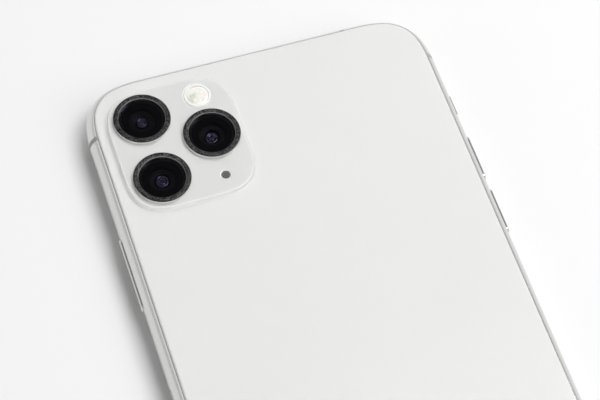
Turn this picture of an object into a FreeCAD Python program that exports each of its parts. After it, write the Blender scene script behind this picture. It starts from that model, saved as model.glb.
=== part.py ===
import FreeCAD, Part
import math
import os

from FreeCAD import Vector

# Smartphone with three rear cameras, lying on its display.
# Millimetres. +Z points out of the back, +Y towards the earpiece end and +X towards the volume
# keys, which is the right-hand side seen from the back. The origin is the centre of the display face.

UP = Vector(0, 0, 1)
ORIGIN = Vector(0, 0, 0)

# ---- body ----
body_width = 77.8
body_height = 158.0
body_depth = 8.1
half_width = body_width / 2
half_height = body_height / 2
mid_depth = body_depth / 2
# a corner is three tangent arcs: radius of the outer two, radius of the middle one, turn of an outer one
body_corner = (25.0, 10.0, 12.9)

# ---- side band section, as inset from the outer face and height above the display face ----
bow_radius = 4.727
shoulder_radius = 0.74
lip_inset = 1.95
wall_inset = 3.0
lip_low = 0.45
lip_high = 7.65
front_ledge = 1.75
rear_ledge = 7.25

# ---- antenna splits ----
split_width = 1.1
split_from_end = 13.1
split_across = 21.5

# ---- rear glass and plate ----
glass_inset = 2.05
glass_edge_round = 0.4
plate_thick = 0.4
plate_low = rear_ledge - plate_thick
plateau_x = -20.8
plateau_y = 58.9
plateau_width = 28.4
plateau_length = 30.5
plateau_top = 9.2
plateau_corner = (16.0, 6.5, 14.0)
plateau_foot_round = 0.5
plateau_rim_round = 0.35

# ---- display ----
cover_thick = 0.75
cover_edge_round = 0.4
panel_inset = 3.5
panel_top = 1.30
shield_top = 1.65
frame_inner_inset = 3.4
seal_outer_inset = 2.05
seal_inner_inset = 2.9
notch_half_width = 17.4
notch_low_y = 69.5
notch_corner = 2.5
earpiece_y = 74.7
earpiece_slot_length = 10.4
earpiece_slot_height = 1.2

# ---- front sensors, in a row beside the earpiece ----
front_camera_x = -10.0
infrared_camera_x = 14.6
dot_projector_x = -15.4
sensor_row_y = 72.6
sensor_low = 1.9
sensor_high = 5.2

# ---- rear cameras ----
tele_at = Vector(-27.1, 66.4, 0)
wide_at = Vector(-27.1, 51.2, 0)
ultrawide_at = Vector(-14.0, 58.8, 0)
ring_radius = 6.1
ring_top = 10.1
ring_neck_radius = 5.5
ring_neck_low = 7.4
ring_bore_radius = 4.35
ring_bevel = 0.15
window_radius = 4.9
window_low = 9.25
window_top = 9.9
camera_half = 5.9
camera_wall = 0.4
camera_low = 2.9
camera_high = 7.0
camera_floor = 2.4
barrel_radius = 3.3
barrel_low = 3.7
barrel_high = 8.8
stabiliser_half = 4.9
stabiliser_bore = 4.2

# ---- flash and rear microphone ----
flash_at = Vector(-14.0, 69.2, 0)
flash_radius = 2.95
rear_mic_at = Vector(-14.1, 48.55, 0)
rear_mic_radius = 1.0
rear_mic_flare = 0.4
rear_mic_flare_depth = 0.2

# ---- keys ----
key_height = 2.3
key_proud = 0.35
key_travel = 0.35
key_gap = 0.08
side_key_y = 33.7
side_key_length = 17.6
volume_up_y = 39.8
volume_down_y = 26.1
volume_key_length = 11.4
silent_y = 53.75
silent_travel = 1.1
silent_cap_length = 5.5
silent_cap_height = 1.7
silent_pocket_length = 5.9
silent_pocket_height = 3.0

# ---- card tray ----
tray_y = -1.5
tray_length = 15.7
tray_height = 2.2
eject_y = -7.45
eject_hole_radius = 0.55
drawer_end = 22.1
lever_x = 19.7
lever_y = -3.9
pivot_radius = 0.45

# ---- bottom edge ----
port_width = 7.7
port_height = 2.2
bottom_screw_x = 6.4
grille_start = 10.4
grille_pitch = 2.6
grille_radius = 0.75
speaker_hole_count = 6
microphone_hole_count = 3

# ---- boards and fasteners ----
board_low = 5.8
board_high = 6.35
screw_radius = 0.5
screw_head_radius = 0.95
ear_y = -53.5
speaker_ear_x = (-32.0, -12.0)
haptic_ear_x = (12.0, 30.5)
board_screw_places = ((-32.6, 41.0), (-13.2, 41.0), (-13.2, 24.0), (-32.6, -10.8))
screw_places = board_screw_places + tuple((x, ear_y) for x in speaker_ear_x + haptic_ear_x)
coil_at = Vector(0, -4.0, 0)
coil_radius = 24.5
plate_window_radius = 25.2


# ---------------------------------------------------------------- shapes
def block(x, y, z):
    """Box between the low and high limits given for each axis."""
    size = (x[1] - x[0], y[1] - y[0], z[1] - z[0])
    return Part.makeBox(size[0], size[1], size[2], Vector(x[0], y[0], z[0]))


def round_block(x, y, z, radius):
    """Box whose four upright edges are rounded."""
    solid = block(x, y, z)
    upright = [edge for edge in solid.Edges if edge.BoundBox.ZLength > 0.5 * (z[1] - z[0])]
    return solid.makeFillet(radius, upright)


def disc(at, radius, low, high):
    """Upright cylinder between two heights."""
    return Part.makeCylinder(radius, high - low, Vector(at.x, at.y, low))


def turned(at, profile):
    """Solid of revolution about the upright line through a place, from (radius, height) corners."""
    points = [Vector(radius, 0, z) for radius, z in profile]
    face = Part.Face(Part.makePolygon(points + points[:1]))
    solid = face.revolve(ORIGIN, UP, 360)
    solid.translate(Vector(at.x, at.y, 0))
    return solid


def pill_face(length, height):
    """Round-ended slot shape centred on the origin, long way along X."""
    reach = (length - height) / 2
    half = height / 2
    right = Part.Arc(Vector(reach, -half, 0), Vector(reach + half, 0, 0), Vector(reach, half, 0))
    left = Part.Arc(Vector(-reach, half, 0), Vector(-reach - half, 0, 0), Vector(-reach, -half, 0))
    top = Part.makeLine(Vector(reach, half, 0), Vector(-reach, half, 0))
    bottom = Part.makeLine(Vector(-reach, -half, 0), Vector(reach, -half, 0))
    return Part.Face(Part.Wire([right.toShape(), top, left.toShape(), bottom]))


def pill(place, turn, length, height, depth):
    """Round-ended bar of the given depth, standing on a place and turned by a rotation."""
    solid = pill_face(length, height).extrude(Vector(0, 0, depth))
    solid.Placement = FreeCAD.Placement(place, turn)
    return solid


THROUGH_SIDE = FreeCAD.Rotation(Vector(0, 1, 0), Vector(0, 0, 1), Vector(1, 0, 0), "ZXY")
THROUGH_END = FreeCAD.Rotation(Vector(1, 0, 0), Vector(0, 0, -1), Vector(0, 1, 0), "ZXY")
UPRIGHT = FreeCAD.Rotation()


def side_pill(x_low, x_high, y, z, length, height):
    """Round-ended bar along X, long way along Y."""
    return pill(Vector(x_low, y, z), THROUGH_SIDE, length, height, x_high - x_low)


def side_rod(x_low, x_high, y, z, radius):
    """Round rod along X."""
    return Part.makeCylinder(radius, x_high - x_low, Vector(x_low, y, z), Vector(1, 0, 0))


def end_rod(x, y_low, y_high, z, radius):
    """Round rod along Y."""
    return Part.makeCylinder(radius, y_high - y_low, Vector(x, y_low, z), Vector(0, 1, 0))


def to_other_side(shape):
    """Mirror image across the plane X = 0."""
    return shape.mirror(ORIGIN, Vector(1, 0, 0))


def edges_in_plane(shape, axis, value):
    """Edges that lie flat in the plane where the named axis has the given value."""
    found = []
    for edge in shape.Edges:
        box = edge.BoundBox
        low = getattr(box, axis + "Min")
        high = getattr(box, axis + "Max")
        if abs(low - value) < 0.01 and abs(high - value) < 0.01:
            found.append(edge)
    return found


def soft_corners(width, height, corner):
    """The twelve arcs of an outline whose corners ease in and out of each bend."""
    outer, inner, turn = corner
    step = outer - inner
    across = step * math.cos(math.radians(turn))
    along = step * math.sin(math.radians(turn))
    first = Vector(width / 2 - outer, height / 2 - outer + across - along, 0)
    middle = Vector(width / 2 - outer + across, height / 2 - outer + across, 0)
    last = Vector(width / 2 - outer + across - along, height / 2 - outer, 0)
    angles = (0, turn, 90 - turn, 90)
    arcs = []
    for quarter, signs in enumerate(((1, 1), (-1, 1), (-1, -1), (1, -1))):
        centres = [first, middle, last]
        if quarter % 2:
            centres.reverse()
        for index, radius in enumerate((outer, inner, outer)):
            centre = Vector(signs[0] * centres[index].x, signs[1] * centres[index].y, 0)
            start = 90 * quarter + angles[index]
            arcs.append((centre, radius, start, 90 * quarter + angles[index + 1]))
    return arcs


def arc_point(arc, angle, inset=0):
    """Point of an arc at an angle, moved in by an inset."""
    centre, radius = arc[:2]
    turn = math.radians(angle)
    return centre + Vector(math.cos(turn), math.sin(turn), 0) * (radius - inset)


def soft_slab(arcs, inset, low, high):
    """Slab bounded by a soft-cornered outline moved in by an inset."""
    edges = []
    for index, arc in enumerate(arcs):
        centre, radius, start, end = arc
        if index % 3 == 0:
            before = arcs[index - 1]
            edges.append(Part.makeLine(arc_point(before, before[3], inset), arc_point(arc, start, inset)))
        edges.append(Part.makeCircle(radius - inset, centre, UP, start, end))
    solid = Part.Face(Part.Wire(edges)).extrude(Vector(0, 0, high - low))
    solid.translate(Vector(0, 0, low))
    return solid


def sweep_around(arcs, profile):
    """Closed ring made by carrying a profile round a soft-cornered outline."""
    stretches = []
    for index, arc in enumerate(arcs):
        centre, radius, start, end = arc
        face = profile(radius)
        face.rotate(ORIGIN, UP, start)
        face.translate(centre)
        stretches.append(face.revolve(centre, UP, end - start))
        if index % 3 == 0:
            before = arcs[index - 1]
            stretches.append(face.extrude(arc_point(before, before[3]) - arc_point(arc, start)))
    return stretches[0].fuse(stretches[1:]).removeSplitter()


body_arcs = soft_corners(body_width, body_height, body_corner)


# ---------------------------------------------------------------- side band
def band_profile(radius):
    """Section of the side band at a bend of this radius: a shallow bow that rolls over to a lip beside
    each glass, with a ledge for each glass inside."""

    def at(inset, z):
        return Vector(radius - inset, 0, z)

    rise = lip_high - mid_depth - shoulder_radius
    reach = bow_radius - shoulder_radius
    turn = math.asin(rise / reach)
    middle = (turn + math.pi / 2) / 2
    meet = (bow_radius * (1 - math.cos(turn)), bow_radius * math.sin(turn))
    centre_inset = bow_radius - reach * math.cos(turn)
    halfway = (centre_inset - shoulder_radius * math.cos(middle), rise + shoulder_radius * math.sin(middle))
    bow = Part.Arc(at(meet[0], mid_depth - meet[1]), at(0, mid_depth),
                   at(meet[0], mid_depth + meet[1])).toShape()
    upper = Part.Arc(at(meet[0], mid_depth + meet[1]), at(halfway[0], mid_depth + halfway[1]),
                     at(centre_inset, lip_high)).toShape()
    lower = Part.Arc(at(centre_inset, lip_low), at(halfway[0], mid_depth - halfway[1]),
                     at(meet[0], mid_depth - meet[1])).toShape()
    corners = [
        at(centre_inset, lip_high),
        at(lip_inset, lip_high),
        at(lip_inset, rear_ledge),
        at(wall_inset, rear_ledge),
        at(wall_inset, front_ledge),
        at(lip_inset, front_ledge),
        at(lip_inset, lip_low),
        at(centre_inset, lip_low),
    ]
    edges = [bow, upper]
    for start, end in zip(corners, corners[1:]):
        edges.append(Part.makeLine(start, end))
    return Part.Face(Part.Wire(edges + [lower]))


def key_pocket(y, length):
    """Room in the right-hand side of the band for one push key, its posts and its plunger."""
    pocket = side_pill(half_width - 1.55, half_width + 1, y, mid_depth,
                       length + 2 * key_gap, key_height + 2 * key_gap)
    reach = length / 2 - 1.6
    posts = [side_rod(half_width - 3.5, half_width - 1.5, y + shift, mid_depth, 0.5)
             for shift in (-reach, reach)]
    plunger = side_rod(half_width - 3.5, half_width - 1.5, y, mid_depth, 0.66)
    return pocket.fuse(posts + [plunger])


def silent_pocket():
    """Room in the band for the silent switch and the slot its stem slides in."""
    along = silent_pocket_length / 2
    across = silent_pocket_height / 2
    pocket = block((half_width - 1.2, half_width + 1), (silent_y - along, silent_y + along),
                   (mid_depth - across, mid_depth + across))
    pocket = pocket.makeFillet(0.8, [edge for edge in pocket.Edges if edge.BoundBox.XLength > 1])
    slot = block((half_width - 3.5, half_width - 1.1), (silent_y - 0.8, silent_y + 0.8),
                 (mid_depth - 1.25, mid_depth + 1.25))
    return pocket.fuse(slot)


def tray_opening():
    """Slot in the right-hand side that the card tray slides through (mirrored before use)."""
    return side_pill(half_width - 3.5, half_width + 1, tray_y, mid_depth,
                     tray_length + 2 * key_gap, tray_height + 2 * key_gap)


def bottom_openings():
    """Charging socket mouth, screw holes and the two rows of sound holes in the bottom edge."""
    low = -half_height - 1
    inside = -half_height + 3.5
    cuts = [pill(Vector(0, low, mid_depth), THROUGH_END, port_width, port_height, inside - low)]
    for x in (-bottom_screw_x, bottom_screw_x):
        cuts.append(end_rod(x, low, -half_height + 0.75, mid_depth, 0.88))
        cuts.append(end_rod(x, low, inside, mid_depth, 0.56))
    for index in range(speaker_hole_count):
        cuts.append(end_rod(-grille_start - index * grille_pitch, low, inside, mid_depth, grille_radius))
    for index in range(microphone_hole_count):
        cuts.append(end_rod(grille_start + index * grille_pitch, low, inside, mid_depth, grille_radius))
    return cuts


def split_slots():
    """The six thin gaps that the plastic antenna splits fill."""
    half = split_width / 2
    depth = (0, body_depth)
    slots = []
    for y in (half_height - split_from_end, -half_height + split_from_end):
        slots.append(block((half_width - 4, half_width + 1), (y - half, y + half), depth))
        slots.append(block((-half_width - 1, -half_width + 4), (y - half, y + half), depth))
    for y in ((half_height - 4, half_height + 1), (-half_height - 1, -half_height + 4)):
        slots.append(block((split_across - half, split_across + half), y, depth))
    return slots


def side_band():
    """The six steel lengths of the band by name, the six splits between them, and the uncut ring."""
    ring = sweep_around(body_arcs, band_profile)
    cuts = [
        key_pocket(volume_up_y, volume_key_length),
        key_pocket(volume_down_y, volume_key_length),
        to_other_side(key_pocket(side_key_y, side_key_length)),
        silent_pocket(),
        to_other_side(tray_opening()),
    ]
    slots = split_slots()
    steel = ring.cut(cuts + bottom_openings()).cut(slots)
    lengths = {}
    for solid in steel.Solids:
        middle = solid.CenterOfMass
        if abs(middle.y) < 30:
            name = "band_right" if middle.x > 0 else "band_left"
        else:
            end = "top" if middle.y > 0 else "bottom"
            side = "right" if middle.x > split_across else "left"
            name = "band_" + end + "_" + side
        lengths[name] = solid
    splits = Part.makeCompound([ring.common(slot) for slot in slots])
    return lengths, splits, ring


# ---------------------------------------------------------------- back
def rear_glass():
    """Back glass with its raised camera plateau, in one piece."""
    plate = soft_slab(body_arcs, glass_inset, rear_ledge, body_depth)
    plate = plate.makeFillet(glass_edge_round, edges_in_plane(plate, "Z", body_depth))
    plateau = soft_slab(soft_corners(plateau_width - 1, plateau_length - 1, plateau_corner), 0,
                        rear_ledge, plateau_top)
    plateau.translate(Vector(plateau_x, plateau_y, 0))
    glass = plate.fuse(plateau).removeSplitter()
    foot = []
    for edge in edges_in_plane(glass, "Z", body_depth):
        middle = edge.CenterOfMass
        if abs(middle.x - plateau_x) < plateau_width / 2 and abs(middle.y - plateau_y) < plateau_length / 2:
            foot.append(edge)
    glass = glass.makeFillet(plateau_foot_round, foot)
    glass = glass.makeFillet(plateau_rim_round, edges_in_plane(glass, "Z", plateau_top))
    holes = [disc(at, ring_neck_radius + 0.08, 7, 10) for at in (tele_at, wide_at, ultrawide_at)]
    holes.append(disc(flash_at, flash_radius + 0.05, 7, 10))
    holes.append(disc(rear_mic_at, rear_mic_radius, 7, 10))
    flare_low = plateau_top - rear_mic_flare_depth
    holes.append(turned(rear_mic_at, ((0, flare_low), (rear_mic_radius, flare_low),
                                      (rear_mic_radius + rear_mic_flare, plateau_top), (0, plateau_top))))
    return glass.cut(holes)


def rear_plate():
    """Steel sheet behind the back glass, with a coil window, a camera window and screw posts."""
    plate = soft_slab(body_arcs, wall_inset, plate_low, rear_ledge)
    camera_window = round_block((-33.6, -7.2), (44.4, 72.9), (6, 8), 2)
    plate = plate.cut([disc(coil_at, plate_window_radius, 6, 8), camera_window])
    posts = [disc(Vector(x, y, 0), 1.3, board_high, plate_low) for x, y in screw_places]
    holes = [disc(Vector(x, y, 0), screw_radius, board_high, plate_low) for x, y in screw_places]
    return plate.fuse(posts).cut(holes).removeSplitter()


# ---------------------------------------------------------------- display
def notch(low, high):
    """Space at the earpiece end that the screen leaves for the front sensors."""
    return round_block((-notch_half_width, notch_half_width), (notch_low_y, half_height + 5), (low, high),
                       notch_corner)


def cover_glass():
    """Front glass with softened rim and a slot for the earpiece."""
    glass = soft_slab(body_arcs, glass_inset, 0, cover_thick)
    glass = glass.makeFillet(cover_edge_round, edges_in_plane(glass, "Z", 0))
    slot = pill(Vector(0, earpiece_y, -1), UPRIGHT, earpiece_slot_length, earpiece_slot_height, 3)
    return glass.cut(slot)


def display_panel():
    """Screen laminated to the front glass."""
    return soft_slab(body_arcs, panel_inset, cover_thick, panel_top).cut(notch(0, 3))


def display_shield():
    """Metal sheet on the back of the screen, ribbed for stiffness."""
    sheet = soft_slab(body_arcs, panel_inset, panel_top, shield_top).cut(notch(0, 3))
    grooves = [round_block((-30, 30), (y - 3, y + 3), (shield_top - 0.12, 3), 2.5)
               for y in (-60, -20, 20, 55)]
    return sheet.cut(grooves)


def display_frame():
    """Plastic frame bonded round the back of the front glass, with two threaded ears at the bottom."""
    frame = soft_slab(body_arcs, glass_inset, cover_thick, shield_top)
    frame = frame.cut(soft_slab(body_arcs, frame_inner_inset, 0, 3))
    ears = []
    holes = []
    for x in (-bottom_screw_x, bottom_screw_x):
        ears.append(block((x - 1, x + 1), (-half_height + 3.05, -half_height + 5), (shield_top, 5.0)))
        holes.append(end_rod(x, -half_height + 2, -half_height + 6, mid_depth, screw_radius))
    return frame.fuse(ears).cut(holes).removeSplitter()


def display_seal():
    """Adhesive gasket between the display frame and the band."""
    seal = soft_slab(body_arcs, seal_outer_inset, shield_top, front_ledge)
    return seal.cut(soft_slab(body_arcs, seal_inner_inset, 0, 3))


def earpiece_mesh():
    """Woven metal mesh that closes the earpiece slot, drawn as a thin perforated strip."""
    strip = pill(Vector(0, earpiece_y, 0.25), UPRIGHT, earpiece_slot_length - 0.04,
                 earpiece_slot_height - 0.04, 0.35)
    openings = []
    for column in range(-11, 12):
        for row in (-1, 1):
            openings.append(disc(Vector(column * 0.4, earpiece_y + row * 0.2, 0), 0.12, 0, 1))
    return strip.cut(openings)


# ---------------------------------------------------------------- front sensors
def front_module(x, half_wide, nose_radius):
    """Front-facing camera or projector: square can with a lens nose behind the front glass."""
    can = round_block((x - half_wide, x + half_wide), (sensor_row_y - 2.8, sensor_row_y + 2.8),
                      (sensor_low, sensor_high), 0.4)
    nose = disc(Vector(x, sensor_row_y, 0), nose_radius, 0.8, sensor_low)
    dish = Part.makeCone(nose_radius * 0.7, nose_radius * 0.4, 0.4, Vector(x, sensor_row_y, 0.8))
    return can.fuse(nose).cut(dish)


def front_sensor_bracket():
    """Steel bracket that keeps the front modules in line."""
    plate = round_block((-18.4, 17.9), (sensor_row_y - 3, sensor_row_y + 3),
                        (sensor_high, sensor_high + 0.35), 1)
    windows = [round_block((x - 1.8, x + 1.8), (sensor_row_y - 1.6, sensor_row_y + 1.6), (5, 6), 0.5)
               for x in (dot_projector_x, front_camera_x, infrared_camera_x)]
    return plate.cut(windows)


def earpiece_housing():
    """Box of the earpiece speaker with a duct to the slot in the front glass."""
    shell = round_block((-7.0, 7.0), (sensor_row_y - 3, sensor_row_y + 3), (sensor_low, sensor_high), 0.5)
    snout = pill(Vector(0, earpiece_y, 0.8), UPRIGHT, 11.2, 1.7, 1.1)
    chamber = block((-6.3, 6.3), (70.2, 75.0), (2.5, 4.7))
    duct = pill(Vector(0, earpiece_y - 0.25, 0), UPRIGHT, 9.4, 0.9, 3)
    return shell.fuse(snout).cut([chamber, duct])


def earpiece_diaphragm():
    """Thin plate that moves in the earpiece to make sound."""
    return round_block((-5.2, 5.2), (70.7, 74.5), (3.4, 3.6), 0.8)


# ---------------------------------------------------------------- rear cameras
def lens_ring(at):
    """Metal ring round one camera window: collar on the plateau, neck through the glass."""
    return turned(at, (
        (ring_bore_radius, ring_neck_low),
        (ring_neck_radius, ring_neck_low),
        (ring_neck_radius, plateau_top),
        (ring_radius, plateau_top),
        (ring_radius, ring_top - ring_bevel),
        (ring_radius - ring_bevel, ring_top),
        (window_radius + 0.05, ring_top),
        (window_radius + 0.05, window_low),
        (ring_bore_radius, window_low),
    ))


def camera_can(at, hole_radius):
    """Square housing of one camera, open towards its sensor and with a round hole for the lens."""
    x = (at.x - camera_half, at.x + camera_half)
    y = (at.y - camera_half, at.y + camera_half)
    shell = round_block(x, y, (camera_low, camera_high), 0.6)
    inner_x = (x[0] + camera_wall, x[1] - camera_wall)
    inner_y = (y[0] + camera_wall, y[1] - camera_wall)
    room = round_block(inner_x, inner_y, (camera_low, camera_high - camera_wall), 0.3)
    return shell.cut([room, disc(at, hole_radius, 5, 8)])


def sensor_board(at):
    """Small board that closes the camera housing and carries the image sensor."""
    board = round_block((at.x - 5.7, at.x + 5.7), (at.y - 5.7, at.y + 5.7), (camera_floor, camera_low), 0.5)
    return board.fuse(block((at.x - 3.6, at.x + 3.6), (at.y - 2.8, at.y + 2.8), (camera_low, 3.3)))


def stabiliser(at):
    """Frame that floats in the housing and carries the lens sideways."""
    frame = round_block((at.x - stabiliser_half, at.x + stabiliser_half),
                        (at.y - stabiliser_half, at.y + stabiliser_half), (3.9, 6.3), 0.5)
    return frame.cut(disc(at, stabiliser_bore, 3, 7))


def lens_barrel(at, flange_radius):
    """Lens barrel with a coil flange, a stepped front recess and a domed front element."""
    barrel = turned(at, (
        (0, barrel_low),
        (barrel_radius, barrel_low),
        (barrel_radius, 4.3),
        (flange_radius, 4.3),
        (flange_radius, 5.9),
        (barrel_radius, 5.9),
        (barrel_radius, barrel_high - 0.2),
        (barrel_radius - 0.2, barrel_high),
        (2.3, barrel_high),
        (1.9, barrel_high - 0.45),
        (1.6, barrel_high - 0.45),
        (1.6, barrel_high - 0.8),
        (0, barrel_high - 0.8),
    ))
    dome = Part.makeSphere(3.0, Vector(at.x, at.y, barrel_high - 0.8 - 2.5))
    front = dome.common(disc(at, 1.55, barrel_high - 1.0, barrel_high))
    return barrel.fuse(front)


def camera_bracket():
    """Steel tray that holds the three cameras at their spacing."""
    floor = 2.05
    outer = round_block((-33.65, -20.55), (44.65, 72.95), (floor, 6.2), 1)
    outer = outer.fuse(round_block((-20.9, -7.45), (52.25, 65.35), (floor, 6.2), 0.3))
    rooms = [
        round_block((-33.3, -20.9), (45.0, 72.6), (camera_floor, 7), 0.6),
        round_block((-20.2, -7.8), (52.6, 65.0), (camera_floor, 7), 0.6),
    ]
    return outer.cut(rooms)


def flash_diffuser():
    """Clear window over the flash with a raised inner lens and an outer collar."""
    return turned(flash_at, (
        (0, 7.5),
        (flash_radius, 7.5),
        (flash_radius, plateau_top - 0.1),
        (flash_radius - 0.1, plateau_top),
        (2.4, plateau_top),
        (2.3, plateau_top - 0.15),
        (0, plateau_top - 0.15),
    ))


def flash_board():
    """Flexible board with the flash emitters at one end and the rear microphone at the other."""
    low = 6.35
    high = 6.5
    pad = round_block((-17.2, -10.8), (66.4, 72.2), (low, high), 0.8)
    strip = [
        block((-20.85, -17.0), (67.0, 68.0), (low, high)),
        block((-20.85, -20.25), (48.0, 68.0), (low, high)),
        block((-20.85, -15.0), (48.0, 48.8), (low, high)),
    ]
    emitters = [block((x - 0.7, x + 0.7), (68.4, 70.0), (high, 7.0)) for x in (-15.1, -12.9)]
    microphone = round_block((-15.6, -12.4), (47.2, 49.6), (low, 7.2), 0.3)
    return pad.fuse(strip + emitters + [microphone]).removeSplitter()


def rear_mic_mesh():
    """Perforated disc in the rear microphone hole."""
    mesh = disc(rear_mic_at, rear_mic_radius - 0.02, plateau_top - 0.40, plateau_top - 0.27)
    holes = []
    for ring in (1, 2):
        for index in range(6 * ring):
            turn = 2 * math.pi * index / (6 * ring)
            spot = rear_mic_at + Vector(math.cos(turn), math.sin(turn), 0) * (0.32 * ring)
            holes.append(disc(spot, 0.1, 8, 10))
    return mesh.cut(holes + [disc(rear_mic_at, 0.1, 8, 10)])


# ---------------------------------------------------------------- keys
def push_key(y, length):
    """Side key for the right-hand edge: pill cap, two guide posts and a plunger."""
    face = half_width + key_proud
    cap = side_pill(half_width - 1.15, face, y, mid_depth, length, key_height)
    cap = cap.makeFillet(0.25, edges_in_plane(cap, "X", face))
    reach = length / 2 - 1.6
    posts = [side_rod(half_width - 2.95, half_width - 1.15, y + shift, mid_depth, 0.45)
             for shift in (-reach, reach)]
    plunger = side_rod(half_width - 3.3, half_width - 1.15, y, mid_depth, 0.6)
    return cap.fuse(posts + [plunger])


def key_switch(y):
    """Push switch on its stamped holder, fixed to the inner face of the right-hand side."""
    wall = half_width - wall_inset
    holder = block((wall - 1.8, wall - 1.3), (y - 2.6, y + 2.6), (mid_depth - 1.1, mid_depth + 1.1))
    feet = []
    for low, high in ((y - 2.6, y - 2.1), (y + 2.1, y + 2.6)):
        feet.append(block((wall - 1.8, wall), (low, high), (mid_depth - 1.1, mid_depth + 1.1)))
    switch = block((wall - 1.3, wall - 0.85), (y - 1.6, y + 1.6), (mid_depth - 1.0, mid_depth + 1.0))
    button = side_rod(wall - 0.85, wall - 0.68, y, mid_depth, 0.8)
    return holder.fuse(feet + [switch, button])


def silent_switch():
    """Two-position slider: cap in the side pocket and a stem through the band."""
    rest_z = mid_depth - silent_travel / 2
    face = half_width + key_proud
    cap = side_pill(half_width - 1.15, face, silent_y, rest_z,
                    silent_cap_length, silent_cap_height)
    cap = cap.makeFillet(0.2, edges_in_plane(cap, "X", face))
    stem = block((half_width - 3.7, half_width - 1.15), (silent_y - 0.6, silent_y + 0.6),
                 (rest_z - 0.6, rest_z + 0.6))
    return cap.fuse(stem)


def silent_switch_body():
    """Slide switch inside the wall that the silent switch's stem reaches into."""
    wall = half_width - wall_inset
    shell = block((wall - 1.9, wall), (silent_y - 2.6, silent_y + 2.6), (2.2, 5.9))
    return shell.cut(block((wall - 1.0, wall + 1), (silent_y - 0.9, silent_y + 0.9), (2.6, 5.5)))


# ---------------------------------------------------------------- card tray, drawn on the right and mirrored
def card_tray(ring):
    """Tray face that matches the bow of the band, with a drawer for one small card."""
    face = side_pill(half_width - wall_inset, half_width + 1, tray_y, mid_depth, tray_length, tray_height)
    face = face.common(ring)
    drawer = round_block((drawer_end, half_width - wall_inset + 0.5), (-5.2, 5.6), (3.45, 4.65), 0.4)
    card = round_block((drawer_end + 0.5, drawer_end + 12.9), (-4.25, 4.65), (3.85, 6), 0.8)
    window = round_block((drawer_end + 2.4, drawer_end + 11.0), (-2.8, 3.2), (3, 6), 1)
    hole = side_rod(30, 40, eject_y, mid_depth, eject_hole_radius)
    return face.fuse(drawer).cut([card, window, hole, seal_ring()])


def seal_ring():
    """Rubber ring in a groove round the neck of the tray face."""
    low = half_width - 2.6
    high = half_width - 2.1
    ring = side_pill(low, high, tray_y, mid_depth, tray_length, tray_height)
    return ring.cut(side_pill(low, high, tray_y, mid_depth, tray_length - 0.5, tray_height - 0.5))


def card_reader():
    """Card cage soldered under the board: tray bay, plunger guides and the eject lever's pivot."""
    cage = block((17.2, 35.8), (-9.6, 6.3), (2.7, board_low))
    bay = block((21.9, 36), (-5.4, 5.8), (3.1, 4.9))
    chamber = block((17.6, 22.0), (-9.0, 5.8), (3.1, 4.9))
    channel = block((21.9, 36), (-8.9, -6.1), (3.1, 4.9))
    cage = cage.cut([bay, chamber, channel])
    guides = [block((low, low + 1.5), (-9, -6), (3, 5)) for low in (24.5, 33.0)]
    guides = [guide.cut(side_rod(20, 37, eject_y, mid_depth, 0.7)) for guide in guides]
    pivot = disc(Vector(lever_x, lever_y, 0), pivot_radius, 3.0, 5.0)
    return cage.fuse(guides + [pivot]).removeSplitter()


def eject_plunger():
    """Rod behind the pin hole with a narrow nose that pushes the eject lever."""
    rod = side_rod(22.6, 35.7, eject_y, mid_depth, 0.65)
    return rod.fuse(side_rod(lever_x + 0.65, 22.6, eject_y, mid_depth, 0.3))


def eject_lever():
    """Rocker that turns the push of the plunger into an outward push on the drawer."""
    bar = round_block((lever_x - 0.5, lever_x + 0.5), (lever_y - 4.0, lever_y + 4.4), (3.45, 4.65), 0.45)
    hub = disc(Vector(lever_x, lever_y, 0), 0.95, 3.45, 4.65)
    return bar.fuse(hub).cut(disc(Vector(lever_x, lever_y, 0), pivot_radius + 0.05, 3, 5))


# ---------------------------------------------------------------- bottom edge
def port_housing():
    """Charging socket: block behind the bottom edge with a pill-shaped cavity."""
    inner = -half_height + wall_inset
    shell = round_block((-4.6, 4.6), (inner, inner + 9.2), (2.5, 5.6), 0.4)
    cavity = pill(Vector(0, inner - 1, mid_depth), THROUGH_END, port_width - 0.6, port_height - 0.4, 1 + 5.4)
    return shell.cut(cavity)


def port_contacts():
    """Eight spring contacts along the upper wall of the socket."""
    inner = -half_height + wall_inset
    top = mid_depth + port_height / 2 - 0.2
    contacts = []
    for index in range(8):
        x = (index - 3.5) * 0.7
        contacts.append(block((x - 0.15, x + 0.15), (inner + 2.4, inner + 5.2), (top - 0.12, top)))
    return Part.makeCompound(contacts)


def lobed_recess(x):
    """Five-lobed drive recess in the head of a bottom screw."""
    outer = -half_height + 0.15
    tools = [end_rod(x, outer - 0.5, outer + 0.3, mid_depth, 0.25)]
    for index in range(5):
        turn = 2 * math.pi * index / 5
        tools.append(end_rod(x + 0.25 * math.cos(turn), outer - 0.5, outer + 0.3,
                             mid_depth + 0.25 * math.sin(turn), 0.12))
    return tools


def bottom_screws():
    """The two screws beside the charging socket that hold the display."""
    screws = []
    for x in (-bottom_screw_x, bottom_screw_x):
        head = end_rod(x, -half_height + 0.15, -half_height + 0.75, mid_depth, 0.8)
        shank = end_rod(x, -half_height + 0.75, -half_height + 5, mid_depth, screw_radius)
        screws.append(head.fuse(shank).cut(lobed_recess(x)))
    return Part.makeCompound(screws)


def bottom_microphones():
    """Two microphone cans behind the sound holes."""
    cans = []
    for x in (11.2, 15.2):
        can = round_block((x - 1.6, x + 1.6), (-75.8, -73.4), (2.8, 5.3), 0.3)
        cans.append(can.cut(end_rod(x, -76, -75.5, mid_depth, 0.4)))
    return Part.makeCompound(cans)


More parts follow.
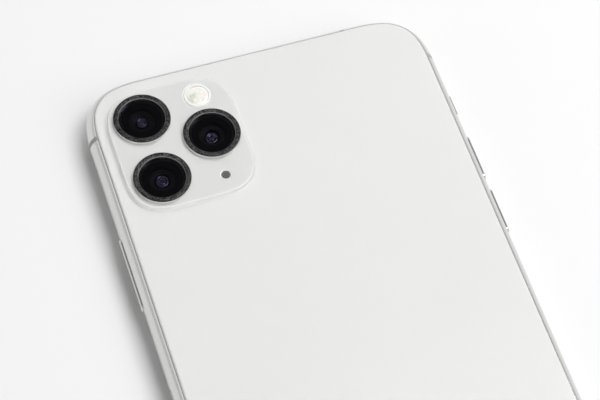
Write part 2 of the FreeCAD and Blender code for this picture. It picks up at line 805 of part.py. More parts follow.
def speaker_enclosure():
    """Moulded loudspeaker box that fills the bottom corner behind its sound holes."""
    box = block((-35.4, -9.2), (-75.7, -55.0), (2.1, 6.4))
    box = box.common(soft_slab(body_arcs, wall_inset + 0.2, 0, 8))
    ears = []
    holes = []
    for x in speaker_ear_x:
        ears.append(block((x - 1.3, x + 1.3), (ear_y - 2.0, ear_y + 1.3), (board_low, board_high)))
        holes.append(disc(Vector(x, ear_y, 0), screw_radius + 0.05, 5, 7))
    chamber = round_block((-32.0, -12.0), (-72.5, -57.0), (2.9, 5.7), 4)
    duct = block((-25.0, -9.9), (-76.0, -72.0), (mid_depth - 0.8, mid_depth + 0.8))
    return box.fuse(ears).cut([chamber, duct] + holes)


def speaker_diaphragm():
    """Loudspeaker cone plate, free to move front to back in its chamber."""
    return round_block((-30.5, -13.5), (-71.0, -58.5), (4.1, 4.4), 3.5)


def haptic_housing():
    """Closed can of the vibration unit, with two screw ears."""
    can = round_block((9.0, 33.6), (-70.6, -56.0), (2.1, 6.3), 0.8)
    room = block((9.4, 33.2), (-70.2, -56.4), (2.5, 5.9))
    ears = []
    holes = []
    for x in haptic_ear_x:
        ears.append(block((x - 1.3, x + 1.3), (ear_y - 2.8, ear_y + 1.3), (board_low, 6.3)))
        holes.append(disc(Vector(x, ear_y, 0), screw_radius + 0.05, 5, 7))
    return can.fuse(ears).cut([room] + holes)


def haptic_mass():
    """Heavy slug that shakes sideways in the vibration unit."""
    slug = round_block((12.6, 30.0), (-69.6, -57.0), (2.9, 5.5), 0.8)
    return slug.cut([round_block((16, 26.6), (-66.5, -60.1), (4.6, 6), 1)])


def haptic_springs():
    """Two folded leaf springs, one at each end of the slug."""
    springs = []
    for foot, tip in ((9.4, 12.6), (33.2, 30.0)):
        reach = (tip - foot) / 3.2
        path = []
        for step, y in ((0, -68.5), (0.4, -68.5), (2.8, -58.2), (3.2, -58.2),
                        (3.2, -57.8), (2.5, -57.8), (0.1, -68.1), (0, -68.1)):
            path.append(Vector(foot + reach * step, y, 3.0))
        springs.append(Part.Face(Part.makePolygon(path + path[:1])).extrude(Vector(0, 0, 2.4)))
    return Part.makeCompound(springs)


# ---------------------------------------------------------------- power and boards
def battery():
    """L-shaped cell: a column beside the board and a foot across the phone."""
    column = block((-10.6, 33.7), (-20, 42), (2.2, 6.4))
    foot = block((-33.7, 33.7), (-51.8, -14.5), (2.2, 6.4))
    cell = column.fuse(foot).removeSplitter()
    upright = [edge for edge in cell.Edges if edge.BoundBox.ZLength > 4]
    cell = cell.makeFillet(1.2, upright)
    return cell.makeFillet(0.5, edges_in_plane(cell, "Z", 2.2) + edges_in_plane(cell, "Z", 6.4))


def logic_board():
    """Two stacked boards joined by a frame, with soldered shield cans."""
    main = round_block((-33.8, -12.0), (-12.2, 42.6), (board_low, board_high), 0.8)
    second = round_block((-31.2, -14.6), (9.0, 39.5), (4.6, 5.1), 0.5)
    frame = block((-31.2, -14.6), (9.0, 39.5), (5.1, board_low))
    frame = frame.cut(block((-30.4, -15.4), (9.8, 38.7), (5, 6)))
    cans = []
    for low, high in ((10.0, 23.8), (24.6, 38.4)):
        can = round_block((-30.4, -15.4), (low, high), (3.3, 4.6), 0.6)
        cans.append(can.cut(block((-30.1, -15.7), (low + 0.3, high - 0.3), (3.6, 4.6))))
    holes = [disc(Vector(x, y, 0), screw_radius + 0.05, 5, 7) for x, y in board_screw_places]
    return main.fuse([second, frame] + cans).cut(holes).removeSplitter()


def charging_coil():
    """Flat charging coil on its magnetic sheet, with the turns drawn as raised rings."""
    sheet = disc(coil_at, coil_radius + 0.5, 6.4, 6.85)
    winding = disc(coil_at, coil_radius, 6.8, rear_ledge).cut(disc(coil_at, 11.0, 6, 8))
    grooves = []
    for index in range(8):
        radius = 12.5 + index * 1.5
        grooves.append(disc(coil_at, radius + 0.12, 7.1, 8).cut(disc(coil_at, radius - 0.12, 7, 8)))
    return sheet.fuse(winding).cut(grooves).removeSplitter()


def internal_screws():
    """Identical small screws that hold the board, the loudspeaker and the vibration unit."""
    screws = []
    for x, y in screw_places:
        at = Vector(x, y, 0)
        head = disc(at, screw_head_radius, 5.2, board_low)
        shank = disc(at, screw_radius, board_low, plate_low)
        cross = block((x - 0.5, x + 0.5), (y - 0.13, y + 0.13), (5, 5.45))
        other = block((x - 0.13, x + 0.13), (y - 0.5, y + 0.5), (5, 5.45))
        screws.append(head.fuse(shank).cut([cross, other]))
    return Part.makeCompound(screws)


# ---------------------------------------------------------------- assembly
def build():
    """Every piece of the phone by name."""
    pieces, splits, ring = side_band()
    cameras = (tele_at, wide_at, ultrawide_at)
    pieces["antenna_splits"] = splits
    pieces["rear_glass"] = rear_glass()
    pieces["rear_plate"] = rear_plate()
    pieces["cover_glass"] = cover_glass()
    pieces["display_panel"] = display_panel()
    pieces["display_shield"] = display_shield()
    pieces["display_frame"] = display_frame()
    pieces["display_seal"] = display_seal()
    pieces["earpiece_mesh"] = earpiece_mesh()
    pieces["front_sensor_bracket"] = front_sensor_bracket()
    pieces["front_camera"] = front_module(front_camera_x, 2.7, 1.6)
    pieces["infrared_camera"] = front_module(infrared_camera_x, 2.8, 1.7)
    pieces["dot_projector"] = front_module(dot_projector_x, 2.4, 1.3)
    pieces["earpiece_housing"] = earpiece_housing()
    pieces["earpiece_diaphragm"] = earpiece_diaphragm()
    pieces["camera_bracket"] = camera_bracket()
    pieces["tele_camera_housing"] = camera_can(tele_at, 4.0)
    pieces["wide_camera_housing"] = camera_can(wide_at, 4.0)
    pieces["ultrawide_camera_housing"] = camera_can(ultrawide_at, 3.4)
    pieces["camera_sensor_boards"] = Part.makeCompound([sensor_board(at) for at in cameras])
    pieces["tele_stabiliser"] = stabiliser(tele_at)
    pieces["wide_stabiliser"] = stabiliser(wide_at)
    pieces["tele_lens"] = lens_barrel(tele_at, 3.95)
    pieces["wide_lens"] = lens_barrel(wide_at, 3.95)
    pieces["ultrawide_lens"] = lens_barrel(ultrawide_at, 5.3)
    pieces["lens_rings"] = Part.makeCompound([lens_ring(at) for at in cameras])
    pieces["lens_windows"] = Part.makeCompound([
        disc(at, window_radius, window_low, window_top) for at in cameras])
    pieces["flash_diffuser"] = flash_diffuser()
    pieces["flash_board"] = flash_board()
    pieces["rear_mic_mesh"] = rear_mic_mesh()
    pieces["side_button"] = to_other_side(push_key(side_key_y, side_key_length))
    pieces["volume_up_button"] = push_key(volume_up_y, volume_key_length)
    pieces["volume_down_button"] = push_key(volume_down_y, volume_key_length)
    pieces["silent_switch"] = silent_switch()
    pieces["silent_switch_body"] = silent_switch_body()
    pieces["key_switches"] = Part.makeCompound([
        key_switch(volume_up_y), key_switch(volume_down_y), to_other_side(key_switch(side_key_y))])
    pieces["sim_tray"] = to_other_side(card_tray(ring))
    pieces["sim_tray_seal"] = to_other_side(seal_ring())
    pieces["sim_reader"] = to_other_side(card_reader())
    pieces["eject_plunger"] = to_other_side(eject_plunger())
    pieces["eject_lever"] = to_other_side(eject_lever())
    pieces["port_housing"] = port_housing()
    pieces["port_contacts"] = port_contacts()
    pieces["bottom_screws"] = bottom_screws()
    pieces["bottom_microphones"] = bottom_microphones()
    pieces["speaker_enclosure"] = speaker_enclosure()
    pieces["speaker_diaphragm"] = speaker_diaphragm()
    pieces["haptic_housing"] = haptic_housing()
    pieces["haptic_mass"] = haptic_mass()
    pieces["haptic_springs"] = haptic_springs()
    pieces["battery"] = battery()
    pieces["logic_board"] = logic_board()
    pieces["charging_coil"] = charging_coil()
    pieces["internal_screws"] = internal_screws()
    return pieces


os.makedirs("parts", exist_ok=True)
for name, shape in build().items():
    shape.exportStep("parts/" + name + ".step")
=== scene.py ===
import math

import bmesh
import bpy
from mathutils import Matrix, Vector
from mathutils.geometry import tessellate_polygon


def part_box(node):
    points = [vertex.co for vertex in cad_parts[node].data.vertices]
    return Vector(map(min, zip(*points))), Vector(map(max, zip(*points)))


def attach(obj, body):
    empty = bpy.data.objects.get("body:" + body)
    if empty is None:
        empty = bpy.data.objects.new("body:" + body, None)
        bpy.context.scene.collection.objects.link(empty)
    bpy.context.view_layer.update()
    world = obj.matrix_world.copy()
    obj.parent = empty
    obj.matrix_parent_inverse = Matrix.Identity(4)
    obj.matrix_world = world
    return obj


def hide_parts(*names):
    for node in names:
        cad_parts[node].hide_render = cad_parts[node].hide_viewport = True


# Looks of a smartphone lying on its display. Shapes are drawn in millimetres and scaled to metres.

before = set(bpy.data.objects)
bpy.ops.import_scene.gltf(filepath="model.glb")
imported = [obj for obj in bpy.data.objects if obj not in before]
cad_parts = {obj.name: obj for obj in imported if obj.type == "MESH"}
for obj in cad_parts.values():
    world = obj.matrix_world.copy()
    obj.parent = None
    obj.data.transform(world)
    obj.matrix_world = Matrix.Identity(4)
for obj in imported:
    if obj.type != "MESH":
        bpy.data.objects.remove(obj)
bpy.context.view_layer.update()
MM = 0.001


def node_box(node):
    """Low and high corner of a CAD node in millimetres."""
    low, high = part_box(node)
    return low / MM, high / MM


def node_middle(node):
    """Centre of a CAD node's box in millimetres."""
    low, high = node_box(node)
    return (low + high) / 2


# ------ sizes
half_width = -node_box("band_left")[0].x
half_height = node_box("band_top_left")[1].y
back_z = 8.1
mid_z = 4.05
# outer radius, inner radius and turn in degrees of the eased corners
body_corner = (25.0, 10.0, 12.9)
plateau_corner = (16.0, 6.5, 14.0)
plateau_width = 27.4
plateau_length = 29.5
# section of the band: bowed face, rounded shoulders, lip and the ledges that the glass rests on
bow_radius = 4.727
lip_round = 0.74
lip_rise = 3.6
lip_inset = 1.95
ledge_inset = 3.0
ledge_high = 7.25
ledge_low = 1.75
glass_inset = 1.98
screen_inset = 3.5
notch_half = 17.4
notch_low = 69.5
notch_round = 2.5
# keys: height of the cap, how far it stands out and how deep its back lies
key_height = 2.24
key_proud = 0.35
key_back = 1.15
# openings of the bottom edge
socket_length = 7.7
socket_height = 2.2
bottom_screw_x = 6.4
grille_start = 10.4
grille_pitch = 2.6
sound_hole_radius = 0.75
opening_depth = 3.5
plateau_at = Vector((-20.8, 58.9))
plateau_top = node_box("rear_glass")[1].z
ring_top = node_box("lens_rings")[1].z
cameras = {"tele": node_middle("tele_lens"), "wide": node_middle("wide_lens"),
           "ultrawide": node_middle("ultrawide_lens")}
flash_at = node_middle("flash_diffuser")
mic_at = node_middle("rear_mic_mesh")


# ------ outlines
# An outline is a closed list of (x, y, outward x, outward y).
def arc_steps(centre, radius, start, end, steps, last=False):
    """Points of an arc in degrees, with or without its last point."""
    points = []
    for k in range(steps + last):
        turn = math.radians(start + (end - start) * k / steps)
        c, s = math.cos(turn), math.sin(turn)
        points.append((centre[0] + radius * c, centre[1] + radius * s, c, s))
    return points


def soft_outline(width, height, corner, fine=1.0, middle=(0.0, 0.0), straight=1):
    """Rounded outline whose corners ease in and out of each bend, counter-clockwise from the right side."""
    outer, inner, turn = corner
    step = outer - inner
    across = step * math.cos(math.radians(turn))
    along = step * math.sin(math.radians(turn))
    near = (width / 2 - outer, height / 2 - outer + across - along)
    mid = (width / 2 - outer + across, height / 2 - outer + across)
    far = (width / 2 - outer + across - along, height / 2 - outer)
    angles = (0, turn, 90 - turn, 90)
    outline = []
    for quarter, signs in enumerate(((1, 1), (-1, 1), (-1, -1), (1, -1))):
        centres = (near, mid, far) if quarter % 2 == 0 else (far, mid, near)
        for k, radius in enumerate((outer, inner, outer)):
            centre = (middle[0] + signs[0] * centres[k][0], middle[1] + signs[1] * centres[k][1])
            span = angles[k + 1] - angles[k]
            steps = max(2, round(span * fine * (0.55 if radius == outer else 0.4)))
            start = 90 * quarter + angles[k]
            outline += arc_steps(centre, radius, start, start + span, steps, last=k == 2)
    return subdivide_straights(outline, straight)


def subdivide_straights(outline, parts):
    """Cuts each long straight stretch of an outline into parts."""
    if parts < 2:
        return outline
    result = []
    longest = max(math.dist(a[:2], b[:2]) for a, b in zip(outline, outline[1:] + outline[:1]))
    for a, b in zip(outline, outline[1:] + outline[:1]):
        result.append(a)
        gap = math.dist(a[:2], b[:2])
        count = round(parts * gap / longest) if gap > longest / 6 else 1
        for k in range(1, count):
            t = k / count
            result.append((a[0] + (b[0] - a[0]) * t, a[1] + (b[1] - a[1]) * t, a[2], a[3]))
    return result


def round_outline(radius, steps=96, middle=(0.0, 0.0)):
    return arc_steps((middle[0], middle[1]), radius, 0, 360, steps)


def pill_outline(length, height, steps=16):
    """Round-ended slot, long way along the first axis."""
    reach, radius = (length - height) / 2, height / 2
    outline = []
    for sign, start in ((1, -90), (-1, 90)):
        outline += arc_steps((sign * reach, 0), radius, start, start + 180, steps, last=True)
    return outline


def box_outline(length, height, radius, steps=8):
    """Rectangle with rounded corners."""
    outline = []
    for quarter, signs in enumerate(((1, 1), (-1, 1), (-1, -1), (1, -1))):
        centre = (signs[0] * (length / 2 - radius), signs[1] * (height / 2 - radius))
        start = 90 * quarter
        outline += arc_steps(centre, radius, start, start + 90, steps, last=True)
    return outline


def shifted(outline, at):
    return [(x + at[0], y + at[1], nx, ny) for x, y, nx, ny in outline]


def rounding(inset, z, across, rise, steps=6):
    """Levels of a quarter-round edge that starts upright at (inset, z) and ends flat, moving in by across."""
    levels = []
    for k in range(steps + 1):
        turn = math.pi / 2 * k / steps
        levels.append((inset + across * (1 - math.cos(turn)), z + rise * math.sin(turn)))
    return levels


# ------ meshes
class Shell:
    """Vertices in millimetres and faces, built up from loops of vertices."""

    def __init__(self):
        self.points = []
        self.faces = []
        self.kinds = []

    def loop(self, outline, inset, z):
        """Adds an outline moved in by inset at a height."""
        start = len(self.points)
        self.points += [(x - nx * inset, y - ny * inset, z) for x, y, nx, ny in outline]
        return list(range(start, len(self.points)))

    def bridge(self, low, high, kind=0):
        """Joins two loops of equal length by faces."""
        count = len(low)
        for k in range(count):
            n = (k + 1) % count
            self.faces.append((low[k], low[n], high[n], high[k]))
            self.kinds.append(kind)

    def walls(self, outline, levels, kind=0):
        """Loops at the given (inset, z) levels joined by faces; returns the first and last loop."""
        loops = [self.loop(outline, inset, z) for inset, z in levels]
        for low, high in zip(loops, loops[1:]):
            self.bridge(low, high, kind)
        return loops[0], loops[-1]

    def cap(self, loop, up=True, kind=0):
        """Closes a loop by one face."""
        self.faces.append(tuple(loop if up else reversed(loop)))
        self.kinds.append(kind)

    def sheet(self, outer, holes, up=True, kind=0):
        """Flat face between an outer loop and the loops of its holes."""
        order = list(outer)
        for hole in holes:
            order += hole
        rings = [[Vector(self.points[i]) for i in ring] for ring in [outer] + list(holes)]
        for triangle in tessellate_polygon(rings):
            corners = [order[i] for i in triangle]
            a, b, c = (Vector(self.points[i]) for i in corners)
            if ((b - a).cross(c - a).z > 0) != up:
                corners.reverse()
            self.faces.append(tuple(corners))
            self.kinds.append(kind)

    def add(self, other):
        """Adds another shell's vertices and faces."""
        start = len(self.points)
        self.points += other.points
        self.faces += [tuple(i + start for i in face) for face in other.faces]
        self.kinds += other.kinds


def mesh_from(name, shell, place=None):
    """Mesh in metres from a shell in millimetres, moved to its place."""
    mesh = bpy.data.meshes.new(name)
    scaled = [Vector(point) * MM for point in shell.points]
    if place is not None:
        scaled = [place @ point for point in scaled]
    mesh.from_pydata([tuple(point) for point in scaled], [], shell.faces)
    for face, kind in zip(mesh.polygons, shell.kinds):
        face.material_index = kind
    mesh.update()
    return mesh


def sharp_by_angle(mesh, degrees):
    """Smooth shading that breaks at edges steeper than an angle."""
    work = bmesh.new()
    work.from_mesh(mesh)
    bmesh.ops.remove_doubles(work, verts=work.verts, dist=1e-7)
    bmesh.ops.dissolve_degenerate(work, edges=work.edges, dist=1e-7)
    bmesh.ops.recalc_face_normals(work, faces=work.faces)
    limit = math.radians(degrees)
    for edge in work.edges:
        edge.smooth = len(edge.link_faces) == 2 and edge.calc_face_angle(0) < limit
    for face in work.faces:
        face.smooth = True
    work.to_mesh(mesh)
    work.free()


def in_scene(name, data):
    """New object that is part of the scene."""
    thing = bpy.data.objects.new(name, data)
    bpy.context.scene.collection.objects.link(thing)
    return thing


def show(mesh, materials, body, nodes=(), angle=32, weighted=True):
    """Puts a mesh in the scene as a piece that rides on a CAD body."""
    sharp_by_angle(mesh, angle)
    piece = in_scene(mesh.name, mesh)
    for material in materials:
        mesh.materials.append(material)
    if weighted:
        normals = piece.modifiers.new("normals", "WEIGHTED_NORMAL")
        normals.keep_sharp = True
        normals.weight = 80
    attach(piece, body)
    if nodes:
        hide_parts(*nodes)
    return piece


def cut(mesh, cutters):
    """Mesh with the cutter meshes taken away one after another; each cutter is used up."""
    name = mesh.name
    outward_mesh(mesh)
    for cutter in cutters:
        base = in_scene("base", mesh)
        tool = in_scene("tool", outward_mesh(cutter))
        modifier = base.modifiers.new("cut", "BOOLEAN")
        modifier.object = tool
        modifier.operation = "DIFFERENCE"
        modifier.solver = "EXACT"
        bpy.context.view_layer.update()
        result = bpy.data.meshes.new_from_object(base.evaluated_get(bpy.context.evaluated_depsgraph_get()))
        bpy.data.objects.remove(base)
        bpy.data.objects.remove(tool)
        bpy.data.meshes.remove(cutter)
        bpy.data.meshes.remove(mesh)
        mesh = result
    mesh.name = name
    return mesh


def outward_mesh(mesh):
    """The same mesh with all its faces turned outwards."""
    work = bmesh.new()
    work.from_mesh(mesh)
    bmesh.ops.recalc_face_normals(work, faces=work.faces)
    work.to_mesh(mesh)
    work.free()
    return mesh


# first axis along +Y and third axis along +X, for shapes in the side walls; then the same for the bottom wall
SIDE = Matrix(((0, 0, 1, 0), (1, 0, 0, 0), (0, 1, 0, 0), (0, 0, 0, 1)))
BOTTOM = Matrix(((-1, 0, 0, 0), (0, 0, -1, 0), (0, -1, 0, 0), (0, 0, 0, 1)))
BOTTOM = BOTTOM @ Matrix.Rotation(math.pi, 4, "Z")


def placed(turn, at):
    """Turn about the origin followed by a move in millimetres."""
    return Matrix.Translation(Vector(at) * MM) @ turn


MIRROR = Matrix.Scale(-1, 4, Vector((1, 0, 0)))


def prism(outline, low, high):
    """Straight solid between two heights."""
    shell = Shell()
    first, last = shell.walls(outline, [(0, low), (0, high)])
    shell.cap(first, up=False)
    shell.cap(last)
    return shell


# ------ materials
class Nodes:
    """Small helper to wire a node material."""

    def __init__(self, name):
        self.material = bpy.data.materials.new(name)
        self.material.use_nodes = True
        self.tree = self.material.node_tree
        self.shader = self.tree.nodes["Principled BSDF"]
        self.place = self.tree.nodes.new("ShaderNodeTexCoord")

    def new(self, kind, **settings):
        """New node with its inputs or properties set."""
        node = self.tree.nodes.new(kind)
        for key, value in settings.items():
            if key in node.inputs:
                node.inputs[key].default_value = value
            else:
                setattr(node, key, value)
        return node

    def link(self, source, target):
        self.tree.links.new(source, target)

    def set(self, **values):
        """Sets inputs of the main shader; _ stands for a space."""
        for key, value in values.items():
            self.shader.inputs[key.replace("_", " ")].default_value = value

    def into(self, key, source):
        """Joins an output to an input of the main shader."""
        self.link(source, self.shader.inputs[key])

    def noise(self, scale, detail=3.0, stretch=(1, 1, 1)):
        """Noise over the object's own space; scale is cells per metre."""
        mapping = self.new("ShaderNodeMapping", Scale=stretch)
        self.link(self.place.outputs["Object"], mapping.inputs["Vector"])
        noise = self.new("ShaderNodeTexNoise", Scale=scale, Detail=detail)
        self.link(mapping.outputs["Vector"], noise.inputs["Vector"])
        return noise.outputs["Fac"]

    def spread(self, source, low, high, start=0.3, end=0.7):
        """Maps a value from start..end to low..high."""
        limits = {"From Min": start, "From Max": end, "To Min": low, "To Max": high}
        ranged = self.new("ShaderNodeMapRange", **limits)
        self.link(source, ranged.inputs["Value"])
        return ranged.outputs["Result"]

    def ramp(self, source, stops):
        """Colour ramp through (position, colour) stops."""
        node = self.new("ShaderNodeValToRGB")
        elements = node.color_ramp.elements
        for element, (position, colour) in ((elements[0], stops[0]), (elements[1], stops[-1])):
            element.position = position
            element.color = (*colour, 1)
        for position, colour in stops[1:-1]:
            elements.new(position).color = (*colour, 1)
        self.link(source, node.inputs["Fac"])
        return node.outputs["Color"]

    def tint(self, source, low, high, start=0.3, end=0.7):
        """Colour between two colours as a value goes from start to end."""
        return self.ramp(source, ((start, low), (end, high)))

    def bump(self, source, height, strength=1.0):
        """Surface relief from a value."""
        bump = self.new("ShaderNodeBump", Strength=strength, Distance=height)
        self.link(source, bump.inputs["Height"])
        self.link(bump.outputs["Normal"], self.shader.inputs["Normal"])


def plain(name, colour, metallic=0.0, roughness=0.5, vary=0.04, scale=900.0, grain=0.0, coat=0.0,
          stretch=(1, 1, 1), shine=0.5):
    """Material with a fine mottle in colour and roughness, and optional grain."""
    nodes = Nodes(name)
    nodes.set(Metallic=metallic, Roughness=roughness, Specular_IOR_Level=shine)
    nodes.set(Coat_Weight=coat, Coat_Roughness=0.05)
    mottle = nodes.noise(scale, 3.0, stretch)
    dark = tuple(c * (1 - vary) for c in colour)
    light = tuple(min(1.0, c * (1 + vary)) for c in colour)
    nodes.into("Base Color", nodes.tint(mottle, dark, light))
    nodes.into("Roughness", nodes.spread(mottle, roughness * 0.9, roughness * 1.12))
    if grain:
        nodes.bump(nodes.noise(scale * 6, 2.0, stretch), grain)
    return nodes.material


def glass_body(name):
    """White glass that glows softly through its edges, under a clear coat."""
    nodes = Nodes(name)
    nodes.shader.subsurface_method = "BURLEY"
    nodes.set(Roughness=1.0, Specular_IOR_Level=0.0, Subsurface_Weight=1.0, Subsurface_Scale=0.0012,
              Subsurface_Radius=(1.0, 1.0, 1.0), Coat_Weight=1.0, Coat_IOR=1.5)
    return nodes


def milky_glass(name, dark, light, rough_low, rough_high):
    """White glass with a faint mottle and a surface of a given roughness."""
    nodes = glass_body(name)
    nodes.into("Base Color", nodes.tint(nodes.noise(14.0, 2.0), dark, light))
    rough = nodes.spread(nodes.noise(9000.0, 2.0), rough_low, rough_high)
    nodes.into("Coat Roughness", rough)
    return nodes.material


def edge_glass_material():
    """Glass at the foot and rim of the plateau, with painted light and shade: paler on the sides that face
    the lower left and darker on the sides that face the upper right.
    """
    nodes = glass_body("painted_light_edge_glass")
    # painted light and shade: the base colour follows the way each wall faces, standing in for light that
    # passes through the plateau glass
    facing = nodes.new("ShaderNodeVectorMath", operation="DOT_PRODUCT")
    nodes.link(nodes.new("ShaderNodeNewGeometry").outputs["Normal"], facing.inputs[0])
    facing.inputs[1].default_value = (-0.89, -0.45, 0.0)
    side = nodes.spread(facing.outputs["Value"], 0.0, 1.0, -0.9, 0.9)
    tone = nodes.tint(side, (0.50, 0.50, 0.49), (1.0, 1.0, 0.99), 0.0, 1.0)
    nodes.into("Base Color", tone)
    nodes.into("Coat Roughness", nodes.spread(nodes.noise(9000.0, 2.0), 0.10, 0.16))
    return nodes.material


def steel_material():
    """Polished steel with a trace of fine wear."""
    nodes = Nodes("polished_steel")
    nodes.set(Metallic=1.0)
    wear = nodes.noise(2500.0, 4.0)
    nodes.into("Base Color", nodes.tint(wear, (0.64, 0.64, 0.63), (0.70, 0.70, 0.69)))
    nodes.into("Roughness", nodes.spread(wear, 0.10, 0.17))
    return nodes.material


def ring_face_material():
    """Dark satin metal with a fine sparkling grain."""
    nodes = Nodes("ring_face")
    nodes.set(Metallic=0.9)
    grain = nodes.noise(3800.0, 5.0)
    nodes.into("Base Color", nodes.tint(grain, (0.004, 0.004, 0.004), (0.14, 0.14, 0.136), 0.40, 0.66))
    nodes.into("Roughness", nodes.spread(grain, 0.28, 0.5))
    nodes.bump(grain, 0.00003, 0.6)
    return nodes.material


def lens_coating_material():
    """Coated lens element: almost black, with violet and blue sheen towards grazing light."""
    nodes = Nodes("lens_coating")
    nodes.set(Roughness=0.05, IOR=2.3)
    facing = nodes.new("ShaderNodeLayerWeight", Blend=0.35)
    sheen = nodes.tint(facing.outputs["Facing"], (0.002, 0.002, 0.006), (0.01, 0.006, 0.03), 0.1, 0.8)
    nodes.into("Base Color", sheen)
    nodes.shader.inputs["Specular Tint"].default_value = (0.75, 0.7, 1.0, 1)
    nodes.into("Roughness", nodes.spread(nodes.noise(700.0), 0.02, 0.05))
    return nodes.material


def window_material():
    """Clear coated camera window: see-through with a thin reflection."""
    nodes = Nodes("camera_window")
    clear = nodes.new("ShaderNodeBsdfTransparent", Color=(0.75, 0.75, 0.78, 1))
    shine = nodes.new("ShaderNodeBsdfGlossy", Color=(0.8, 0.8, 0.9, 1), Roughness=0.02)
    nodes.link(nodes.spread(nodes.noise(400.0), 0.01, 0.03), shine.inputs["Roughness"])
    edge = nodes.new("ShaderNodeFresnel", IOR=1.18)
    mix = nodes.new("ShaderNodeMixShader")
    nodes.link(edge.outputs["Fac"], mix.inputs[0])
    nodes.link(clear.outputs[0], mix.inputs[1])
    nodes.link(shine.outputs[0], mix.inputs[2])
    output = nodes.tree.nodes["Material Output"]
    nodes.link(mix.outputs[0], output.inputs["Surface"])
    return nodes.material


def flash_material():
    """Milky faceted flash lens with warm and pink patches."""
    nodes = Nodes("flash_lens")
    nodes.set(Roughness=0.15, IOR=1.5, Coat_Weight=0.6, Coat_Roughness=0.04)
    patches = nodes.noise(620.0, 2.0)
    stops = ((0.28, (0.60, 0.60, 0.55)), (0.42, (0.80, 0.81, 0.70)), (0.52, (0.90, 0.89, 0.85)),
             (0.62, (0.88, 0.82, 0.79)), (0.75, (0.93, 0.93, 0.91)))
    nodes.into("Base Color", nodes.ramp(patches, stops))
    facets = nodes.new("ShaderNodeTexVoronoi", Scale=1500.0)
    nodes.link(nodes.place.outputs["Object"], facets.inputs["Vector"])
    nodes.bump(facets.outputs["Distance"], 0.00012, 0.7)
    return nodes.material


def screen_material():
    """Black front glass: the lit area reads slightly bluer than the border."""
    nodes = Nodes("screen")
    nodes.set(Roughness=0.08, IOR=1.5, Coat_Weight=1.0, Coat_Roughness=0.02)
    nodes.into("Base Color", nodes.tint(nodes.noise(60.0), (0.012, 0.012, 0.015), (0.015, 0.015, 0.019)))
    return nodes.material


def front_glass_material():
    """Front glass seen with the screen off: deep black under a clear polish."""
    nodes = Nodes("front_glass")
    nodes.set(Roughness=0.03, IOR=1.5, Coat_Weight=0.5, Coat_Roughness=0.02)
    nodes.into("Base Color", nodes.tint(nodes.noise(90.0), (0.003, 0.003, 0.0035), (0.005, 0.005, 0.006)))
    return nodes.material


def board_material():
    """Dark solder mask with faint traces."""
    nodes = Nodes("circuit_board")
    nodes.set(Roughness=0.35, Coat_Weight=0.4)
    traces = nodes.new("ShaderNodeTexBrick", Scale=700.0)
    traces.inputs["Color1"].default_value = (0.012, 0.035, 0.03, 1)
    traces.inputs["Color2"].default_value = (0.02, 0.05, 0.045, 1)
    traces.inputs["Mortar"].default_value = (0.25, 0.18, 0.07, 1)
    traces.inputs["Mortar Size"].default_value = 0.01
    nodes.link(nodes.place.outputs["Object"], traces.inputs["Vector"])
    nodes.into("Base Color", traces.outputs["Color"])
    return nodes.material


satin_glass = milky_glass("satin_glass", (0.745, 0.745, 0.73), (0.765, 0.765, 0.755), 0.36, 0.44)
gloss_glass = milky_glass("gloss_glass", (0.69, 0.69, 0.675), (0.71, 0.71, 0.70), 0.03, 0.05)
steel = steel_material()
# painted light: a paler copy of the milky glass for the eased rims round the flash and microphone holes,
# standing in for the bright rim these edges catch
painted_light_rim_glass = milky_glass("painted_light_rim_glass", (0.94, 0.94, 0.93), (0.96, 0.96, 0.95), 0.03, 0.05)
painted_light_edge_glass = edge_glass_material()
ring_face = ring_face_material()
lens_coating = lens_coating_material()
window_glass = window_material()
flash_lens = flash_material()
screen = screen_material()
board = board_material()
front_glass = front_glass_material()
sensor_window = plain("sensor_window", (0.010, 0.006, 0.016), roughness=0.04, scale=900.0, coat=1.0)
flash_collar = plain("flash_collar", (0.88, 0.88, 0.86), roughness=0.12, scale=1500.0, coat=1.0)
split_plastic = plain("split_plastic", (0.33, 0.33, 0.32), roughness=0.4)
ring_wall = plain("ring_wall", (0.80, 0.80, 0.79), metallic=1.0, roughness=0.08, scale=2000.0)
ring_edge = plain("ring_edge", (0.32, 0.32, 0.32), metallic=1.0, roughness=0.35, scale=3000.0)
ring_rim = plain("ring_rim", (0.02, 0.02, 0.02), metallic=0.6, roughness=0.3, scale=3000.0)
black_mask = plain("black_mask", (0.002, 0.002, 0.002), roughness=0.6, shine=0.1)
barrel_black = plain("barrel_black", (0.003, 0.003, 0.0035), roughness=0.4, scale=3000.0, shine=0.25)
sheet_metal = plain("sheet_metal", (0.55, 0.55, 0.55), metallic=1.0, roughness=0.32, scale=600.0,
                    grain=0.000003, stretch=(1, 12, 1))
pale_metal = plain("pale_metal", (0.68, 0.68, 0.69), metallic=1.0, roughness=0.38, scale=500.0)
black_plastic = plain("black_plastic", (0.018, 0.018, 0.02), roughness=0.45, scale=1500.0, grain=0.000003)
grey_plastic = plain("grey_plastic", (0.07, 0.07, 0.075), roughness=0.4)
seal_rubber = plain("seal_rubber", (0.02, 0.02, 0.02), roughness=0.7, scale=2500.0)
film = plain("film", (0.12, 0.11, 0.10), roughness=0.4)
gold = plain("gold", (0.83, 0.60, 0.27), metallic=1.0, roughness=0.2, scale=4000.0)
copper = plain("copper", (0.75, 0.38, 0.20), metallic=1.0, roughness=0.3, scale=2500.0, stretch=(1, 1, 6))
cell_wrap = plain("cell_wrap", (0.02, 0.02, 0.022), roughness=0.38, scale=300.0, coat=0.2)
slug_metal = plain("slug_metal", (0.36, 0.36, 0.37), metallic=1.0, roughness=0.35)
mesh_grey = plain("mesh_grey", (0.20, 0.20, 0.20), metallic=0.7, roughness=0.4, scale=5000.0)


